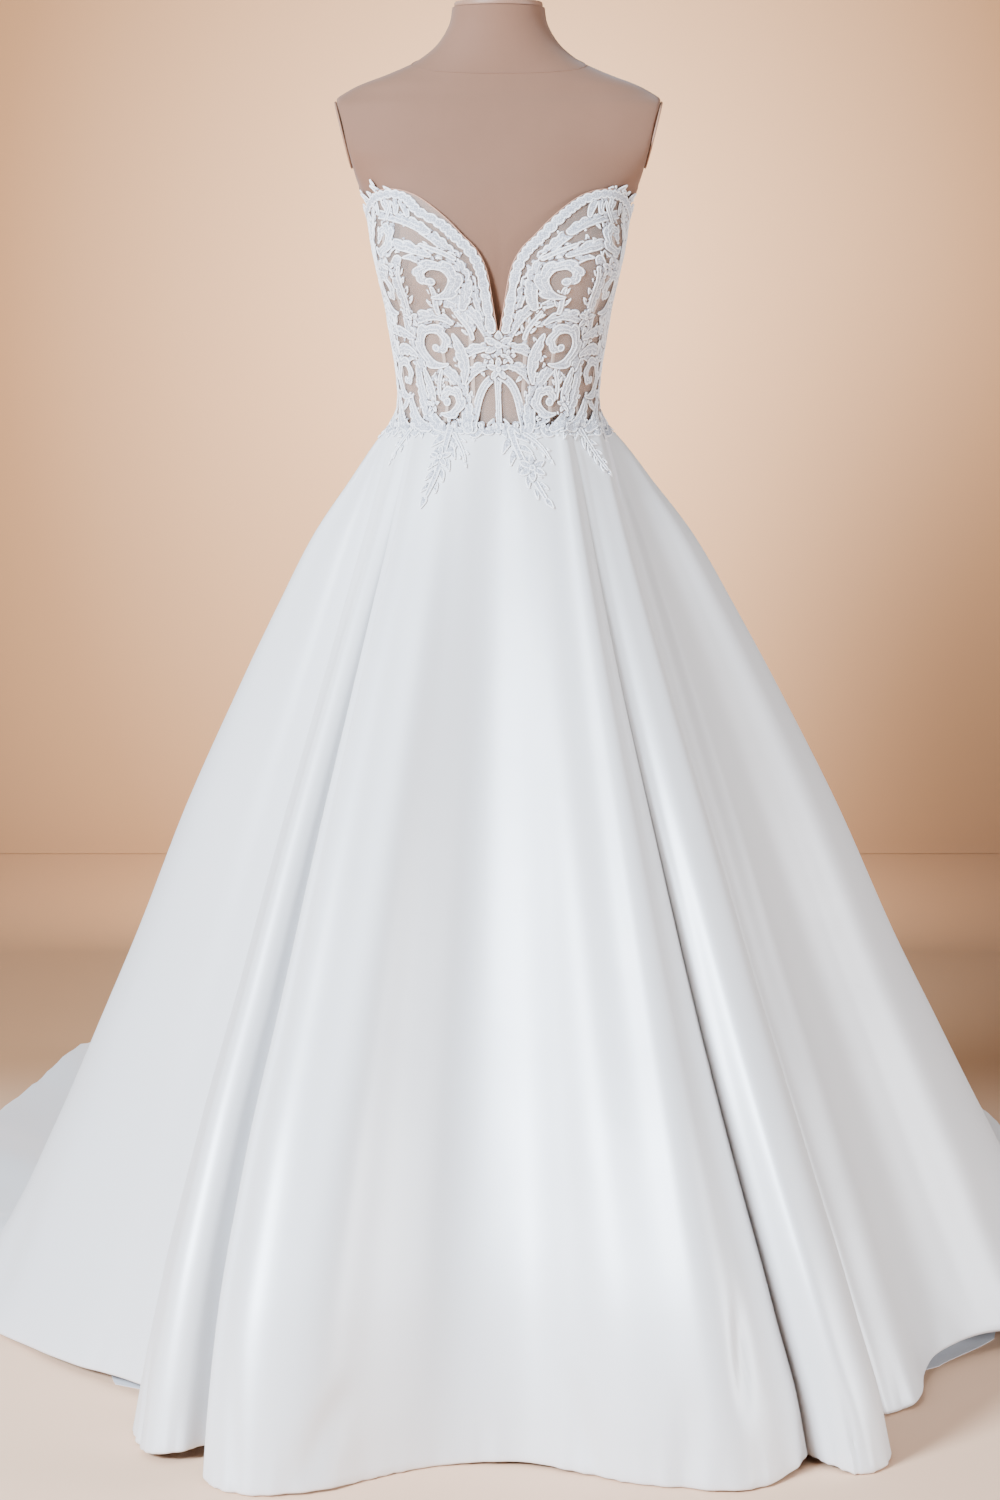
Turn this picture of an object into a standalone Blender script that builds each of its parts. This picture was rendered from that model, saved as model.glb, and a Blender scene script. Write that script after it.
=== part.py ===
"""Strapless lace and satin ball gown with a train, on a limbless dress form and stand. Metres, +Z up, front towards -Y."""

import math

import bpy
import numpy as np
from mathutils import Vector
from mathutils.geometry import delaunay_2d_cdt

WAIST_Z = 1.0634  # the waist seam
SEAM_GAP = 0.0003
SATIN_WALL = 0.0016
LINING_WALL = 0.0011
NET_WALL = 0.001
LACE_WALL = 0.0012
NET_EASE = 0.0017  # net to form
LACE_LIFT = 0.0015  # lace to net
LACE_RADIUS = 0.125  # turns a lace chart's distance from centre front into an angle round the body

for obj in list(bpy.data.objects):
    bpy.data.objects.remove(obj)


# --- curves and meshes --------------------------------------------------------------------------


def table_value(rows, key, column, at):
    """A smooth value from a table's column, with the slope at each row taken from its neighbours."""
    if at <= rows[0][key]:
        return rows[0][column]
    if at >= rows[-1][key]:
        return rows[-1][column]
    i = next(n for n in range(len(rows) - 1) if rows[n + 1][key] >= at)

    def slope(n):
        low, high = rows[max(n - 1, 0)], rows[min(n + 1, len(rows) - 1)]
        return (high[column] - low[column]) / (high[key] - low[key])

    step = rows[i + 1][key] - rows[i][key]
    t = (at - rows[i][key]) / step
    return (
        (2 * t**3 - 3 * t**2 + 1) * rows[i][column]
        + (t**3 - 2 * t**2 + t) * step * slope(i)
        + (3 * t**2 - 2 * t**3) * rows[i + 1][column]
        + (t**3 - t**2) * step * slope(i + 1)
    )


def named_rows(names, rows):
    keys = names.split()
    return [dict(zip(keys, row)) for row in rows]


def through(points, steps):
    """A Catmull-Rom curve through the points, with steps[i] pieces between point i and the next."""
    made = []
    for i in range(len(points) - 1):
        a, b = points[i], points[i + 1]
        before = points[i - 1] if i else a + (a - b)
        after = points[i + 2] if i + 2 < len(points) else b + (b - a)
        for k in range(steps[i]):
            t = k / steps[i]
            made.append(
                0.5
                * (
                    2 * a
                    + (b - before) * t
                    + (2 * before - 5 * a + 4 * b - after) * t**2
                    + (3 * a - before - 3 * b + after) * t**3
                )
            )
    return made + [points[-1]]


def satin_like(name, colour, roughness, alpha=1.0, metallic=0.0):
    made = bpy.data.materials.new(name)
    made.use_nodes = True
    shader = made.node_tree.nodes["Principled BSDF"]
    shader.inputs["Base Color"].default_value = (*colour, 1)
    shader.inputs["Roughness"].default_value = roughness
    shader.inputs["Metallic"].default_value = metallic
    shader.inputs["Alpha"].default_value = alpha
    made.diffuse_color = (*colour, alpha)
    return made


SATIN = satin_like("satin", (0.76, 0.76, 0.80), 0.42)
LINING = satin_like("lining", (0.70, 0.69, 0.72), 0.6)
NET = satin_like("net", (0.62, 0.47, 0.40), 0.7, 0.35)
JERSEY = satin_like("form_jersey", (0.49, 0.35, 0.29), 0.8)
PLATE = satin_like("form_plate", (0.54, 0.40, 0.34), 0.6)
STEEL = satin_like("stand_steel", (0.30, 0.29, 0.28), 0.4, 1.0, 0.6)
ZIP = satin_like("zip_enamel", (0.80, 0.80, 0.82), 0.35, 1.0, 0.2)


def solid(name, points, faces, look):
    mesh = bpy.data.meshes.new(name)
    mesh.from_pydata([tuple(p) for p in points], [], faces)
    mesh.validate()
    made = bpy.data.objects.new(name, mesh)
    made.data.materials.append(look)
    bpy.context.scene.collection.objects.link(made)
    return made


def grid_normals(grid):
    """The outward direction at each point of grid[row][column], rows going down and columns going from -X round the front to +X."""
    rows, columns = len(grid), len(grid[0])
    normals = []
    for r in range(rows):
        line = []
        for c in range(columns):
            across = grid[r][min(c + 1, columns - 1)] - grid[r][max(c - 1, 0)]
            down = grid[min(r + 1, rows - 1)][c] - grid[max(r - 1, 0)][c]
            line.append(down.cross(across).normalized())
        normals.append(line)
    return normals


def wall(name, outer, inner, look):
    """A closed wall between two grids of points."""
    rows, columns = len(outer), len(outer[0])
    points = [p for line in outer for p in line] + [p for line in inner for p in line]
    back = rows * columns

    def at(r, c, side=0):
        return side * back + r * columns + c

    faces = []
    for r in range(rows - 1):
        for c in range(columns - 1):
            faces.append((at(r, c), at(r + 1, c), at(r + 1, c + 1), at(r, c + 1)))
            faces.append((at(r, c, 1), at(r, c + 1, 1), at(r + 1, c + 1, 1), at(r + 1, c, 1)))
    for c in range(columns - 1):
        faces.append((at(0, c), at(0, c + 1), at(0, c + 1, 1), at(0, c, 1)))
        faces.append((at(rows - 1, c), at(rows - 1, c, 1), at(rows - 1, c + 1, 1), at(rows - 1, c + 1)))
    for r in range(rows - 1):
        faces.append((at(r, 0), at(r, 0, 1), at(r + 1, 0, 1), at(r + 1, 0)))
        faces.append((at(r, columns - 1), at(r + 1, columns - 1), at(r + 1, columns - 1, 1), at(r, columns - 1, 1)))
    return solid(name, points, faces, look)


def ring_stack(name, rings, look):
    """A closed solid through rings of points, from the lowest up, with flat ends."""
    count = len(rings[0])
    points = [p for ring in rings for p in ring]
    faces = []
    for r in range(len(rings) - 1):
        for c in range(count):
            n = (c + 1) % count
            faces.append((r * count + c, r * count + n, (r + 1) * count + n, (r + 1) * count + c))
    faces.append(tuple(reversed(range(count))))
    faces.append(tuple(range((len(rings) - 1) * count, len(rings) * count)))
    return solid(name, points, faces, look)


# --- dress form ----------------------------------------------------------------------------------
# A padded torso under jersey, cut off at the neck, the arms and the hips.

TORSO = named_rows(
    "z half_width front back bust",
    [
        (0.868, 0.120, 0.080, 0.085, 0.0),
        (0.880, 0.146, 0.100, 0.108, 0.0),
        (0.930, 0.153, 0.106, 0.120, 0.0),
        (0.980, 0.144, 0.099, 0.108, 0.0),
        (1.030, 0.126, 0.090, 0.090, 0.0),
        (1.085, 0.1155, 0.084, 0.078, 0.0),
        (1.130, 0.1180, 0.087, 0.078, 0.002),
        (1.170, 0.1245, 0.092, 0.082, 0.006),
        (1.210, 0.1310, 0.098, 0.088, 0.014),
        (1.245, 0.1390, 0.103, 0.092, 0.021),
        (1.280, 0.1465, 0.104, 0.095, 0.018),
        (1.310, 0.1520, 0.102, 0.098, 0.009),
        (1.340, 0.1640, 0.096, 0.099, 0.003),
        (1.365, 0.1860, 0.087, 0.096, 0.0),
        (1.390, 0.2090, 0.080, 0.090, 0.0),
        (1.420, 0.2180, 0.070, 0.081, 0.0),
        (1.442, 0.2100, 0.063, 0.073, 0.0),
        (1.455, 0.1870, 0.058, 0.067, 0.0),
        (1.467, 0.1650, 0.055, 0.062, 0.0),
        (1.480, 0.1310, 0.052, 0.058, 0.0),
        (1.494, 0.1000, 0.051, 0.056, 0.0),
        (1.509, 0.0790, 0.050, 0.055, 0.0),
        (1.524, 0.0665, 0.050, 0.055, 0.0),
        (1.541, 0.0580, 0.051, 0.054, 0.0),
        (1.559, 0.0550, 0.053, 0.054, 0.0),
    ],
)
BUST_ANGLE, BUST_SPREAD = math.radians(40), math.radians(24)
ARM_CUT_X, ARM_CUT_Z, ARM_CUT_SLOPE = 0.1715, 1.366, 0.252  # the flat slanted cut passes this x at this z


def torso_at(angle, z, out=0.0):
    """A point of the torso's skin: angle 0 is centre front and grows towards +X."""
    sine, cosine = math.sin(angle), math.cos(angle)
    half = table_value(TORSO, "z", "half_width", z)
    depth = table_value(TORSO, "z", "front" if cosine > 0 else "back", z)
    swell = table_value(TORSO, "z", "bust", z) * math.exp(-(((abs(angle) - BUST_ANGLE) / BUST_SPREAD) ** 2))
    reach = 1 + (swell + out) / math.hypot(half * sine, depth * cosine)
    return Vector((half * sine * reach, -depth * cosine * reach, z))


def torso_ring(z, count=20):
    cut = ARM_CUT_X + ARM_CUT_SLOPE * (z - ARM_CUT_Z)
    ring = []
    for i in range(count):
        p = torso_at(2 * math.pi * i / count - math.pi / count, z)
        if z > 1.345:
            p.x = max(-cut, min(cut, p.x))
        ring.append(p)
    return ring


ring_stack("form_torso", [torso_ring(row["z"]) for row in TORSO], JERSEY)

NECK_TOP = TORSO[-1]["z"]


def disc(name, centre, radius_x, radius_y, low, high, look, count=24):
    """An upright round or oval plate."""
    rings = [
        [
            Vector((centre[0] + radius_x * math.sin(2 * math.pi * i / count), centre[1] - radius_y * math.cos(2 * math.pi * i / count), z))
            for i in range(count)
        ]
        for z in (low, high)
    ]
    return ring_stack(name, rings, look)


disc("form_neck_cap", (0, 0), 0.0525, 0.0515, NECK_TOP + SEAM_GAP, NECK_TOP + 0.007, PLATE)


def arm_plate(name, side, count=18):
    """The flat oval board that closes a cut arm, lying on the slanted cut."""
    middle = Vector((ARM_CUT_X + ARM_CUT_SLOPE * (1.408 - ARM_CUT_Z), -0.004, 1.408))
    up = Vector((ARM_CUT_SLOPE, 0, 1)).normalized()
    face = Vector((up.z, 0, -up.x))
    rings = []
    for out in (SEAM_GAP, SEAM_GAP + 0.0028):
        rings.append(
            [
                middle + face * out + up * 0.041 * math.cos(2 * math.pi * i / count) + Vector((0, 0.036 * math.sin(2 * math.pi * i / count), 0))
                for i in range(count)
            ]
        )
    if side > 0:
        rings = [list(reversed(ring)) for ring in rings]
    for ring in rings:
        for p in ring:
            p.x *= side
    return ring_stack(name, rings, PLATE)


arm_plate("form_arm_plate_left", 1)
arm_plate("form_arm_plate_right", -1)

POLE_RADIUS, BASE_RADIUS, BASE_HEIGHT = 0.016, 0.17, 0.014
disc("stand_flange", (0, 0), 0.045, 0.045, TORSO[0]["z"] - 0.012, TORSO[0]["z"] - SEAM_GAP, STEEL)
disc("stand_pole", (0, 0), POLE_RADIUS, POLE_RADIUS, BASE_HEIGHT + SEAM_GAP, TORSO[0]["z"] - 0.012 - SEAM_GAP, STEEL, 16)
disc("stand_base", (0, 0), BASE_RADIUS, BASE_RADIUS, 0.0, BASE_HEIGHT, STEEL, 36)


# --- bodice of sheer net ---------------------------------------------------------------------------
# Six panels shaped over the bust, seamed at the princess lines, the sides and the centre-back zip.

NECKLINE = named_rows(
    "angle z",
    [
        (0, 1.166), (2.5, 1.204), (5, 1.243), (9, 1.268), (15, 1.287), (21, 1.305), (28, 1.322), (35, 1.334), (45, 1.341),
        (58, 1.339), (68, 1.331), (78, 1.321), (90, 1.312), (110, 1.297), (140, 1.268), (165, 1.249), (180, 1.244),
    ],
)
CUP = named_rows("z swell", [(1.15, 0.0), (1.19, 0.002), (1.235, 0.008), (1.27, 0.0095), (1.305, 0.006), (1.34, 0.001)])
WAIST_FLARE = named_rows("z out", [(1.0, 0.0066), (1.064, 0.0048), (1.078, 0.0016), (1.1, 0.0)])


def bodice_at(angle, z, out=0.0):
    """A point on the outer face of the net, moved out."""
    cup = table_value(CUP, "z", "swell", z) * math.exp(-(((abs(angle) - BUST_ANGLE) / (BUST_SPREAD * 1.15)) ** 2))
    bridge = 0.007 * math.exp(-((angle / 0.3) ** 2)) * math.exp(-(((z - 1.185) / 0.05) ** 2))
    flare = table_value(WAIST_FLARE, "z", "out", z)
    return torso_at(angle, z, NET_EASE + NET_WALL + cup + bridge + flare + out)


NET_ROWS = 9


def net_panel(name, angles):
    """One panel between the first and the last angle, from the waist seam to the neckline."""
    outer, inner = [], []
    for r in range(NET_ROWS):
        share = 1 - r / (NET_ROWS - 1)
        line, under = [], []
        for c, degrees in enumerate(angles):
            top = table_value(NECKLINE, "angle", "z", abs(degrees))
            z = WAIST_Z + SEAM_GAP / 2 + (top - WAIST_Z) * share
            angle = math.radians(degrees)
            if c == 0:
                angle += SEAM_GAP / 2 / LACE_RADIUS
            if c == len(angles) - 1:
                angle -= SEAM_GAP / 2 / LACE_RADIUS
            line.append(bodice_at(angle, z))
            under.append(bodice_at(angle, z, -NET_WALL))
        outer.append(line)
        inner.append(under)
    return wall(name, outer, inner, NET)


FRONT_ANGLES = (0, 2.5, 5, 9, 14, 20, 26, 32, 38, 44, 50)
SIDE_ANGLES = (50, 57, 64, 71, 78, 85, 92, 100)
BACK_ANGLES = (100, 108, 116, 124, 132, 140, 148, 156, 164, 172, 180)
for part, angles in (("front", FRONT_ANGLES), ("side", SIDE_ANGLES), ("back", BACK_ANGLES)):
    net_panel(f"bodice_{part}_left", angles)
    net_panel(f"bodice_{part}_right", [-a for a in reversed(angles)])


def on_net(angle, z, out):
    """A point on the net's flat facets, moved out, so that what lies on the net follows it."""
    degrees, side = min(abs(math.degrees(angle)), 179.99), math.copysign(1, angle)
    columns = FRONT_ANGLES + SIDE_ANGLES[1:] + BACK_ANGLES[1:]
    c = next(i for i in range(len(columns) - 1) if columns[i + 1] > degrees)
    across = (degrees - columns[c]) / (columns[c + 1] - columns[c])
    heights = [table_value(NECKLINE, "angle", "z", columns[c + i]) - WAIST_Z for i in (0, 1)]
    up = (z - WAIST_Z) / (heights[0] * (1 - across) + heights[1] * across) * (NET_ROWS - 1)
    r = max(0, min(int(up), NET_ROWS - 2))
    up -= r
    made = Vector((0, 0, 0))
    for i, part in ((0, 1 - across), (1, across)):
        for j, share in ((r, 1 - up), (r + 1, up)):
            made += bodice_at(math.radians(columns[c + i]) * side, WAIST_Z + heights[i] * j / (NET_ROWS - 1)) * part * share
    down = bodice_at(angle, z - 0.004) - bodice_at(angle, z + 0.004)
    beside = bodice_at(angle + 0.03, z) - bodice_at(angle - 0.03, z)
    return made + down.cross(beside).normalized() * out


# --- satin skirt -----------------------------------------------------------------------------------
# Each fold runs from its place on the waist to its place on the hem. The front panel lies over the rolled pleats at
# its two edges, and the back widens into the train, which runs on along the floor.

WAIST_HALF, WAIST_FRONT, WAIST_BACK = 0.1262, 0.0975, 0.0925

PROFILE = named_rows(
    "drop front straight side",
    [
        (0.000, 0.000, 0.000, 0.000), (0.016, 0.022, 0.012, 0.034), (0.061, 0.070, 0.048, 0.097), (0.123, 0.136, 0.098, 0.182),
        (0.200, 0.230, 0.165, 0.262), (0.290, 0.338, 0.250, 0.350), (0.430, 0.505, 0.392, 0.478), (0.570, 0.662, 0.535, 0.590),
        (0.680, 0.790, 0.655, 0.685), (0.755, 0.862, 0.742, 0.750), (0.822, 0.920, 0.822, 0.812), (0.875, 0.953, 0.882, 0.862),
        (0.940, 0.982, 0.958, 0.934), (1.000, 1.000, 1.000, 1.000),
    ],
)
SKIRT_ROWS = (0, 0.014, 0.045, 0.09, 0.16, 0.25, 0.35, 0.46, 0.57, 0.67, 0.76, 0.84, 0.905, 0.96, 1)

# waist: degrees from centre front. hem_x, hem_y, hem_z: where the fold ends. side: its share of the side profile.
# lean: its share of the straight profile sideways. run: how far it lies along the floor. steps: pieces to the next fold.
FOLDS = "waist hem_x hem_y hem_z side lean run steps"
FRONT_PANEL = named_rows(
    FOLDS,
    [
        (-51.8, -0.304, -0.568, 0.006, 0, 0.0, 0, 1),
        (-50.0, -0.300, -0.592, 0.003, 0, 0.0, 0, 2),
        (-42.0, -0.262, -0.622, 0.001, 0, 0.0, 0, 2),
        (-31.0, -0.190, -0.612, 0.003, 0, 0.1, 0, 2),
        (-19.0, -0.112, -0.566, 0.001, 0, 0.2, 0, 2),
        (-8.0, -0.046, -0.536, 0.003, 0, 0.3, 0, 1),
        (4.0, 0.024, -0.532, 0.005, 0, 0.4, 0, 2),
        (14.0, 0.082, -0.558, 0.003, 0, 0.55, 0, 2),
        (24.0, 0.150, -0.590, 0.001, 0, 0.7, 0, 2),
        (33.0, 0.226, -0.610, 0.002, 0, 0.85, 0, 1),
        (38.0, 0.276, -0.592, 0.002, 0, 0.95, 0, 2),
        (41.3, 0.314, -0.548, 0.008, 0, 1.0, 0, 1),
        (42.8, 0.322, -0.526, 0.010, 0, 1.0, 0, 1),
    ],
)
# The rest of the skirt, from under the front panel's edge at -X, round the back, to under its edge at +X.
REST_OF_SKIRT = named_rows(
    FOLDS,
    [
        (-41.0, -0.258, -0.512, 0.010, 0.00, 0.0, 0, 1),
        (-46.5, -0.288, -0.498, 0.014, 0.00, 0.0, 0, 1),
        (-53.0, -0.330, -0.520, 0.012, 0.05, 0.1, 0, 2),
        (-61.5, -0.366, -0.504, 0.006, 0.10, 0.2, 0, 2),
        (-70.0, -0.386, -0.446, 0.002, 0.20, 0.3, 0, 2),
        (-76.5, -0.388, -0.398, 0.004, 0.25, 0.3, 0, 1),
        (-79.5, -0.366, -0.360, 0.008, 0.30, 0.3, 0, 1),
        (-81.5, -0.370, -0.326, 0.012, 0.40, 0.3, 0, 2),
        (-84.0, -0.424, -0.260, 0.012, 0.55, 0.2, 0, 2),
        (-87.0, -0.480, -0.200, 0.008, 0.75, 0.1, 0, 2),
        (-90.5, -0.588, -0.058, 0.003, 0.90, 0.0, 0.00, 2),
        (-95.0, -0.682, 0.080, 0.003, 1.00, 0.0, 0.04, 2),
        (-101.0, -0.728, 0.240, 0.003, 1.00, 0.0, 0.10, 2),
        (-107.0, -0.748, 0.430, 0.012, 1.00, 0.0, 0.18, 1),
        (-114.0, -0.752, 0.640, 0.003, 1.00, 0.0, 0.28, 1),
        (-121.0, -0.752, 0.850, 0.018, 1.00, 0.0, 0.40, 1),
        (-129.0, -0.744, 1.060, 0.003, 1.00, 0.0, 0.52, 1),
        (-137.0, -0.710, 1.245, 0.010, 1.00, 0.0, 0.62, 1),
        (-145.0, -0.655, 1.440, 0.030, 1.00, 0.0, 0.72, 1),
        (-153.0, -0.545, 1.585, 0.003, 1.00, 0.0, 0.80, 1),
        (-161.0, -0.405, 1.690, 0.028, 1.00, 0.0, 0.87, 1),
        (-169.0, -0.240, 1.755, 0.003, 1.00, 0.0, 0.92, 1),
        (-175.0, -0.115, 1.780, 0.018, 1.00, 0.0, 0.94, 1),
        (-180.0, 0.000, 1.787, 0.008, 1.00, 0.0, 0.95, 1),
        (-185.0, 0.115, 1.780, 0.016, 1.00, 0.0, 0.94, 1),
        (-191.0, 0.240, 1.755, 0.003, 1.00, 0.0, 0.92, 1),
        (-199.0, 0.400, 1.690, 0.028, 1.00, 0.0, 0.87, 1),
        (-207.0, 0.530, 1.580, 0.003, 1.00, 0.0, 0.80, 1),
        (-215.0, 0.615, 1.430, 0.026, 1.00, 0.0, 0.72, 1),
        (-223.0, 0.672, 1.240, 0.003, 1.00, 0.0, 0.62, 1),
        (-231.0, 0.712, 1.050, 0.018, 1.00, 0.0, 0.52, 1),
        (-239.0, 0.745, 0.850, 0.003, 1.00, 0.0, 0.40, 1),
        (-246.0, 0.776, 0.640, 0.018, 1.00, 0.0, 0.28, 1),
        (-253.0, 0.805, 0.430, 0.003, 1.00, 0.0, 0.18, 1),
        (-259.0, 0.800, 0.230, 0.004, 1.00, 0.0, 0.10, 2),
        (-265.0, 0.748, 0.060, 0.006, 1.00, 0.0, 0.04, 2),
        (-269.0, 0.635, -0.075, 0.016, 0.90, 0.0, 0.00, 2),
        (-272.0, 0.550, -0.135, 0.022, 0.80, 0.1, 0, 2),
        (-274.5, 0.490, -0.205, 0.016, 0.65, 0.2, 0, 2),
        (-277.5, 0.466, -0.326, 0.008, 0.45, 0.4, 0, 2),
        (-281.5, 0.428, -0.372, 0.006, 0.32, 0.6, 0, 1),
        (-284.5, 0.394, -0.388, 0.010, 0.25, 0.7, 0, 1),
        (-288.0, 0.402, -0.448, 0.006, 0.15, 0.8, 0, 2),
        (-295.0, 0.404, -0.518, 0.002, 0.05, 0.9, 0, 2),
        (-304.0, 0.374, -0.562, 0.001, 0.00, 0.95, 0, 2),
        (-313.5, 0.338, -0.536, 0.006, 0.00, 1.0, 0, 2),
        (-320.5, 0.308, -0.498, 0.010, 0.00, 1.0, 0, 1),
        (-325.5, 0.280, -0.480, 0.012, 0.00, 1.0, 0, 1),
    ],
)
DROP_LENGTH = 1.12
FLOOR_CLEAR = 0.0006


def fold_at(fold, share, lift=0.0):
    """Where a fold is, a share of the way from the waist to the hem."""
    angle = math.radians(fold["waist"])
    sine, cosine = math.sin(angle), math.cos(angle)
    start = Vector(((WAIST_HALF + lift) * sine, -((WAIST_FRONT if cosine > 0 else WAIST_BACK) + lift) * cosine, 0))
    end = Vector((fold["hem_x"], fold["hem_y"], 0))
    lands = end - (end - start).normalized() * fold["run"]
    length = DROP_LENGTH + fold["run"]
    drop = share * length / DROP_LENGTH
    front, straight, side = (table_value(PROFILE, "drop", column, drop) for column in ("front", "straight", "side"))
    sideways = (1 - fold["lean"]) * front + fold["lean"] * straight
    flat = start + Vector(
        (
            (lands.x - start.x) * ((1 - fold["side"]) * sideways + fold["side"] * side),
            (lands.y - start.y) * ((1 - fold["side"]) * front + fold["side"] * side),
            0,
        )
    )
    if drop > 1:
        flat = lands + (end - lands) * (share * length - DROP_LENGTH) / fold["run"]
    bend = 0.05 * min(1, fold["run"] / 0.15)
    height = WAIST_Z * (1 - drop)
    if bend > 1e-4:
        height = bend * math.log1p(math.exp(height / bend))
        height -= bend * math.log1p(math.exp(WAIST_Z / bend)) - WAIST_Z
        height -= bend * math.log1p(math.exp(WAIST_Z * (1 - length / DROP_LENGTH) / bend)) * share
    ground = FLOOR_CLEAR + SATIN_WALL * 1.05
    soft = min(1, max(0, (share - 0.45) / 0.55)) ** 1.5
    return Vector((flat.x, flat.y, max(height, 0) * (1 - ground / WAIST_Z) + ground + fold["hem_z"] * soft))


def skirt_grid(folds, lift):
    steps = [fold["steps"] for fold in folds]
    return [through([fold_at(fold, share, lift) for fold in folds], steps) for share in SKIRT_ROWS]


def first_column(folds, waist):
    """The grid column where the fold with this waist angle starts."""
    return sum(fold["steps"] for fold in folds[: next(i for i, fold in enumerate(folds) if fold["waist"] == waist)])


def satin_panels(folds, lift, cuts):
    """Panels between the columns named in cuts, from one smooth surface, so that they meet along their seams."""
    outer = skirt_grid(folds, lift)
    if outer[0][0].x > outer[0][1].x:
        outer = [list(reversed(line)) for line in outer]
        cuts = [(name, len(outer[0]) - 1 - last, len(outer[0]) - 1 - first) for name, first, last in cuts]
    normals = grid_normals(outer)
    for r, line in enumerate(outer):
        for c, point in enumerate(line):
            if r == 0:
                normals[r][c] = Vector((normals[r][c].x, normals[r][c].y, 0)).normalized()
    for name, first, last in cuts:
        shell, under = [], []
        for r, line in enumerate(outer):
            top, low = [], []
            for c in range(first, last + 1):
                point = line[c].copy()
                if c == first:
                    point += (line[c + 1] - point).normalized() * SEAM_GAP / 2
                if c == last:
                    point += (line[c - 1] - point).normalized() * SEAM_GAP / 2
                if r == 0:
                    point.z -= SEAM_GAP / 2
                inner = point - normals[r][c] * SATIN_WALL
                if r == 0:
                    inner.z = point.z
                top.append(point)
                low.append(inner)
            shell.append(top)
            under.append(low)
        wall(name, shell, under, SATIN)


FRONT_LIFT = 0.0022
satin_panels(FRONT_PANEL, FRONT_LIFT, [("skirt_front", 0, sum(f["steps"] for f in FRONT_PANEL[:-1]))])
SIDE_RIGHT, CENTRE_BACK, SIDE_LEFT = (first_column(REST_OF_SKIRT, waist) for waist in (-101.0, -180.0, -259.0))
satin_panels(
    REST_OF_SKIRT,
    0.0,
    [
        ("skirt_side_right", 0, SIDE_RIGHT),
        ("skirt_back_right", SIDE_RIGHT, CENTRE_BACK),
        ("skirt_back_left", CENTRE_BACK, SIDE_LEFT),
        ("skirt_side_left", SIDE_LEFT, sum(f["steps"] for f in REST_OF_SKIRT[:-1])),
    ],
)


# --- lining ----------------------------------------------------------------------------------------
# A plain floor-length underskirt, which shows under the lifted hem at each side.

LINING_ROWS = (0, 0.03, 0.1, 0.24, 0.45, 0.7, 0.9, 1)
LINING_FOLDS = named_rows(
    FOLDS + " toe",
    [
        (-180, 0.000, 0.740, 0.002, 1.0, 0, 0, 1, 0.004),
        (-150, -0.330, 0.640, 0.002, 1.0, 0, 0, 1, 0.004),
        (-125, -0.440, 0.470, 0.002, 1.0, 0, 0, 1, 0.004),
        (-105, -0.550, 0.220, 0.002, 1.0, 0, 0, 1, 0.004),
        (-93, -0.540, -0.010, 0.002, 0.95, 0, 0, 1, 0.004),
        (-87, -0.425, -0.165, 0.002, 0.75, 0.1, 0, 1, 0.030),
        (-83, -0.375, -0.222, 0.002, 0.50, 0.2, 0, 1, 0.062),
        (-79, -0.325, -0.295, 0.002, 0.30, 0.3, 0, 1, 0.020),
        (-70, -0.318, -0.370, 0.002, 0.20, 0.2, 0, 1, 0.004),
        (-54, -0.262, -0.445, 0.002, 0.05, 0.1, 0, 1, 0.004),
        (-38, -0.190, -0.485, 0.002, 0, 0.1, 0, 1, 0.004),
        (-20, -0.100, -0.505, 0.002, 0, 0.2, 0, 1, 0.004),
        (0, 0.000, -0.500, 0.002, 0, 0.4, 0, 1, 0.004),
        (16, 0.090, -0.500, 0.002, 0, 0.6, 0, 1, 0.004),
        (30, 0.185, -0.480, 0.002, 0, 0.85, 0, 1, 0.004),
        (43, 0.258, -0.420, 0.002, 0, 1.0, 0, 1, 0.004),
        (58, 0.325, -0.430, 0.002, 0, 0.9, 0, 1, 0.004),
        (70, 0.345, -0.380, 0.002, 0.15, 0.8, 0, 1, 0.004),
        (78, 0.365, -0.320, 0.002, 0.30, 0.6, 0, 1, 0.004),
        (83, 0.410, -0.250, 0.002, 0.50, 0.4, 0, 1, 0.010),
        (87, 0.445, -0.165, 0.002, 0.70, 0.2, 0, 1, 0.060),
        (91, 0.520, -0.070, 0.002, 0.90, 0.1, 0, 1, 0.060),
        (97, 0.600, 0.080, 0.002, 1.0, 0, 0, 1, 0.004),
        (105, 0.580, 0.220, 0.002, 1.0, 0, 0, 1, 0.004),
        (125, 0.450, 0.470, 0.002, 1.0, 0, 0, 1, 0.004),
        (150, 0.330, 0.640, 0.002, 1.0, 0, 0, 1, 0.004),
        (180, 0.000, 0.740, 0.002, 1.0, 0, 0, 1, 0.004),
    ],
)
LINING_LIFT = -0.0024


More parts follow.
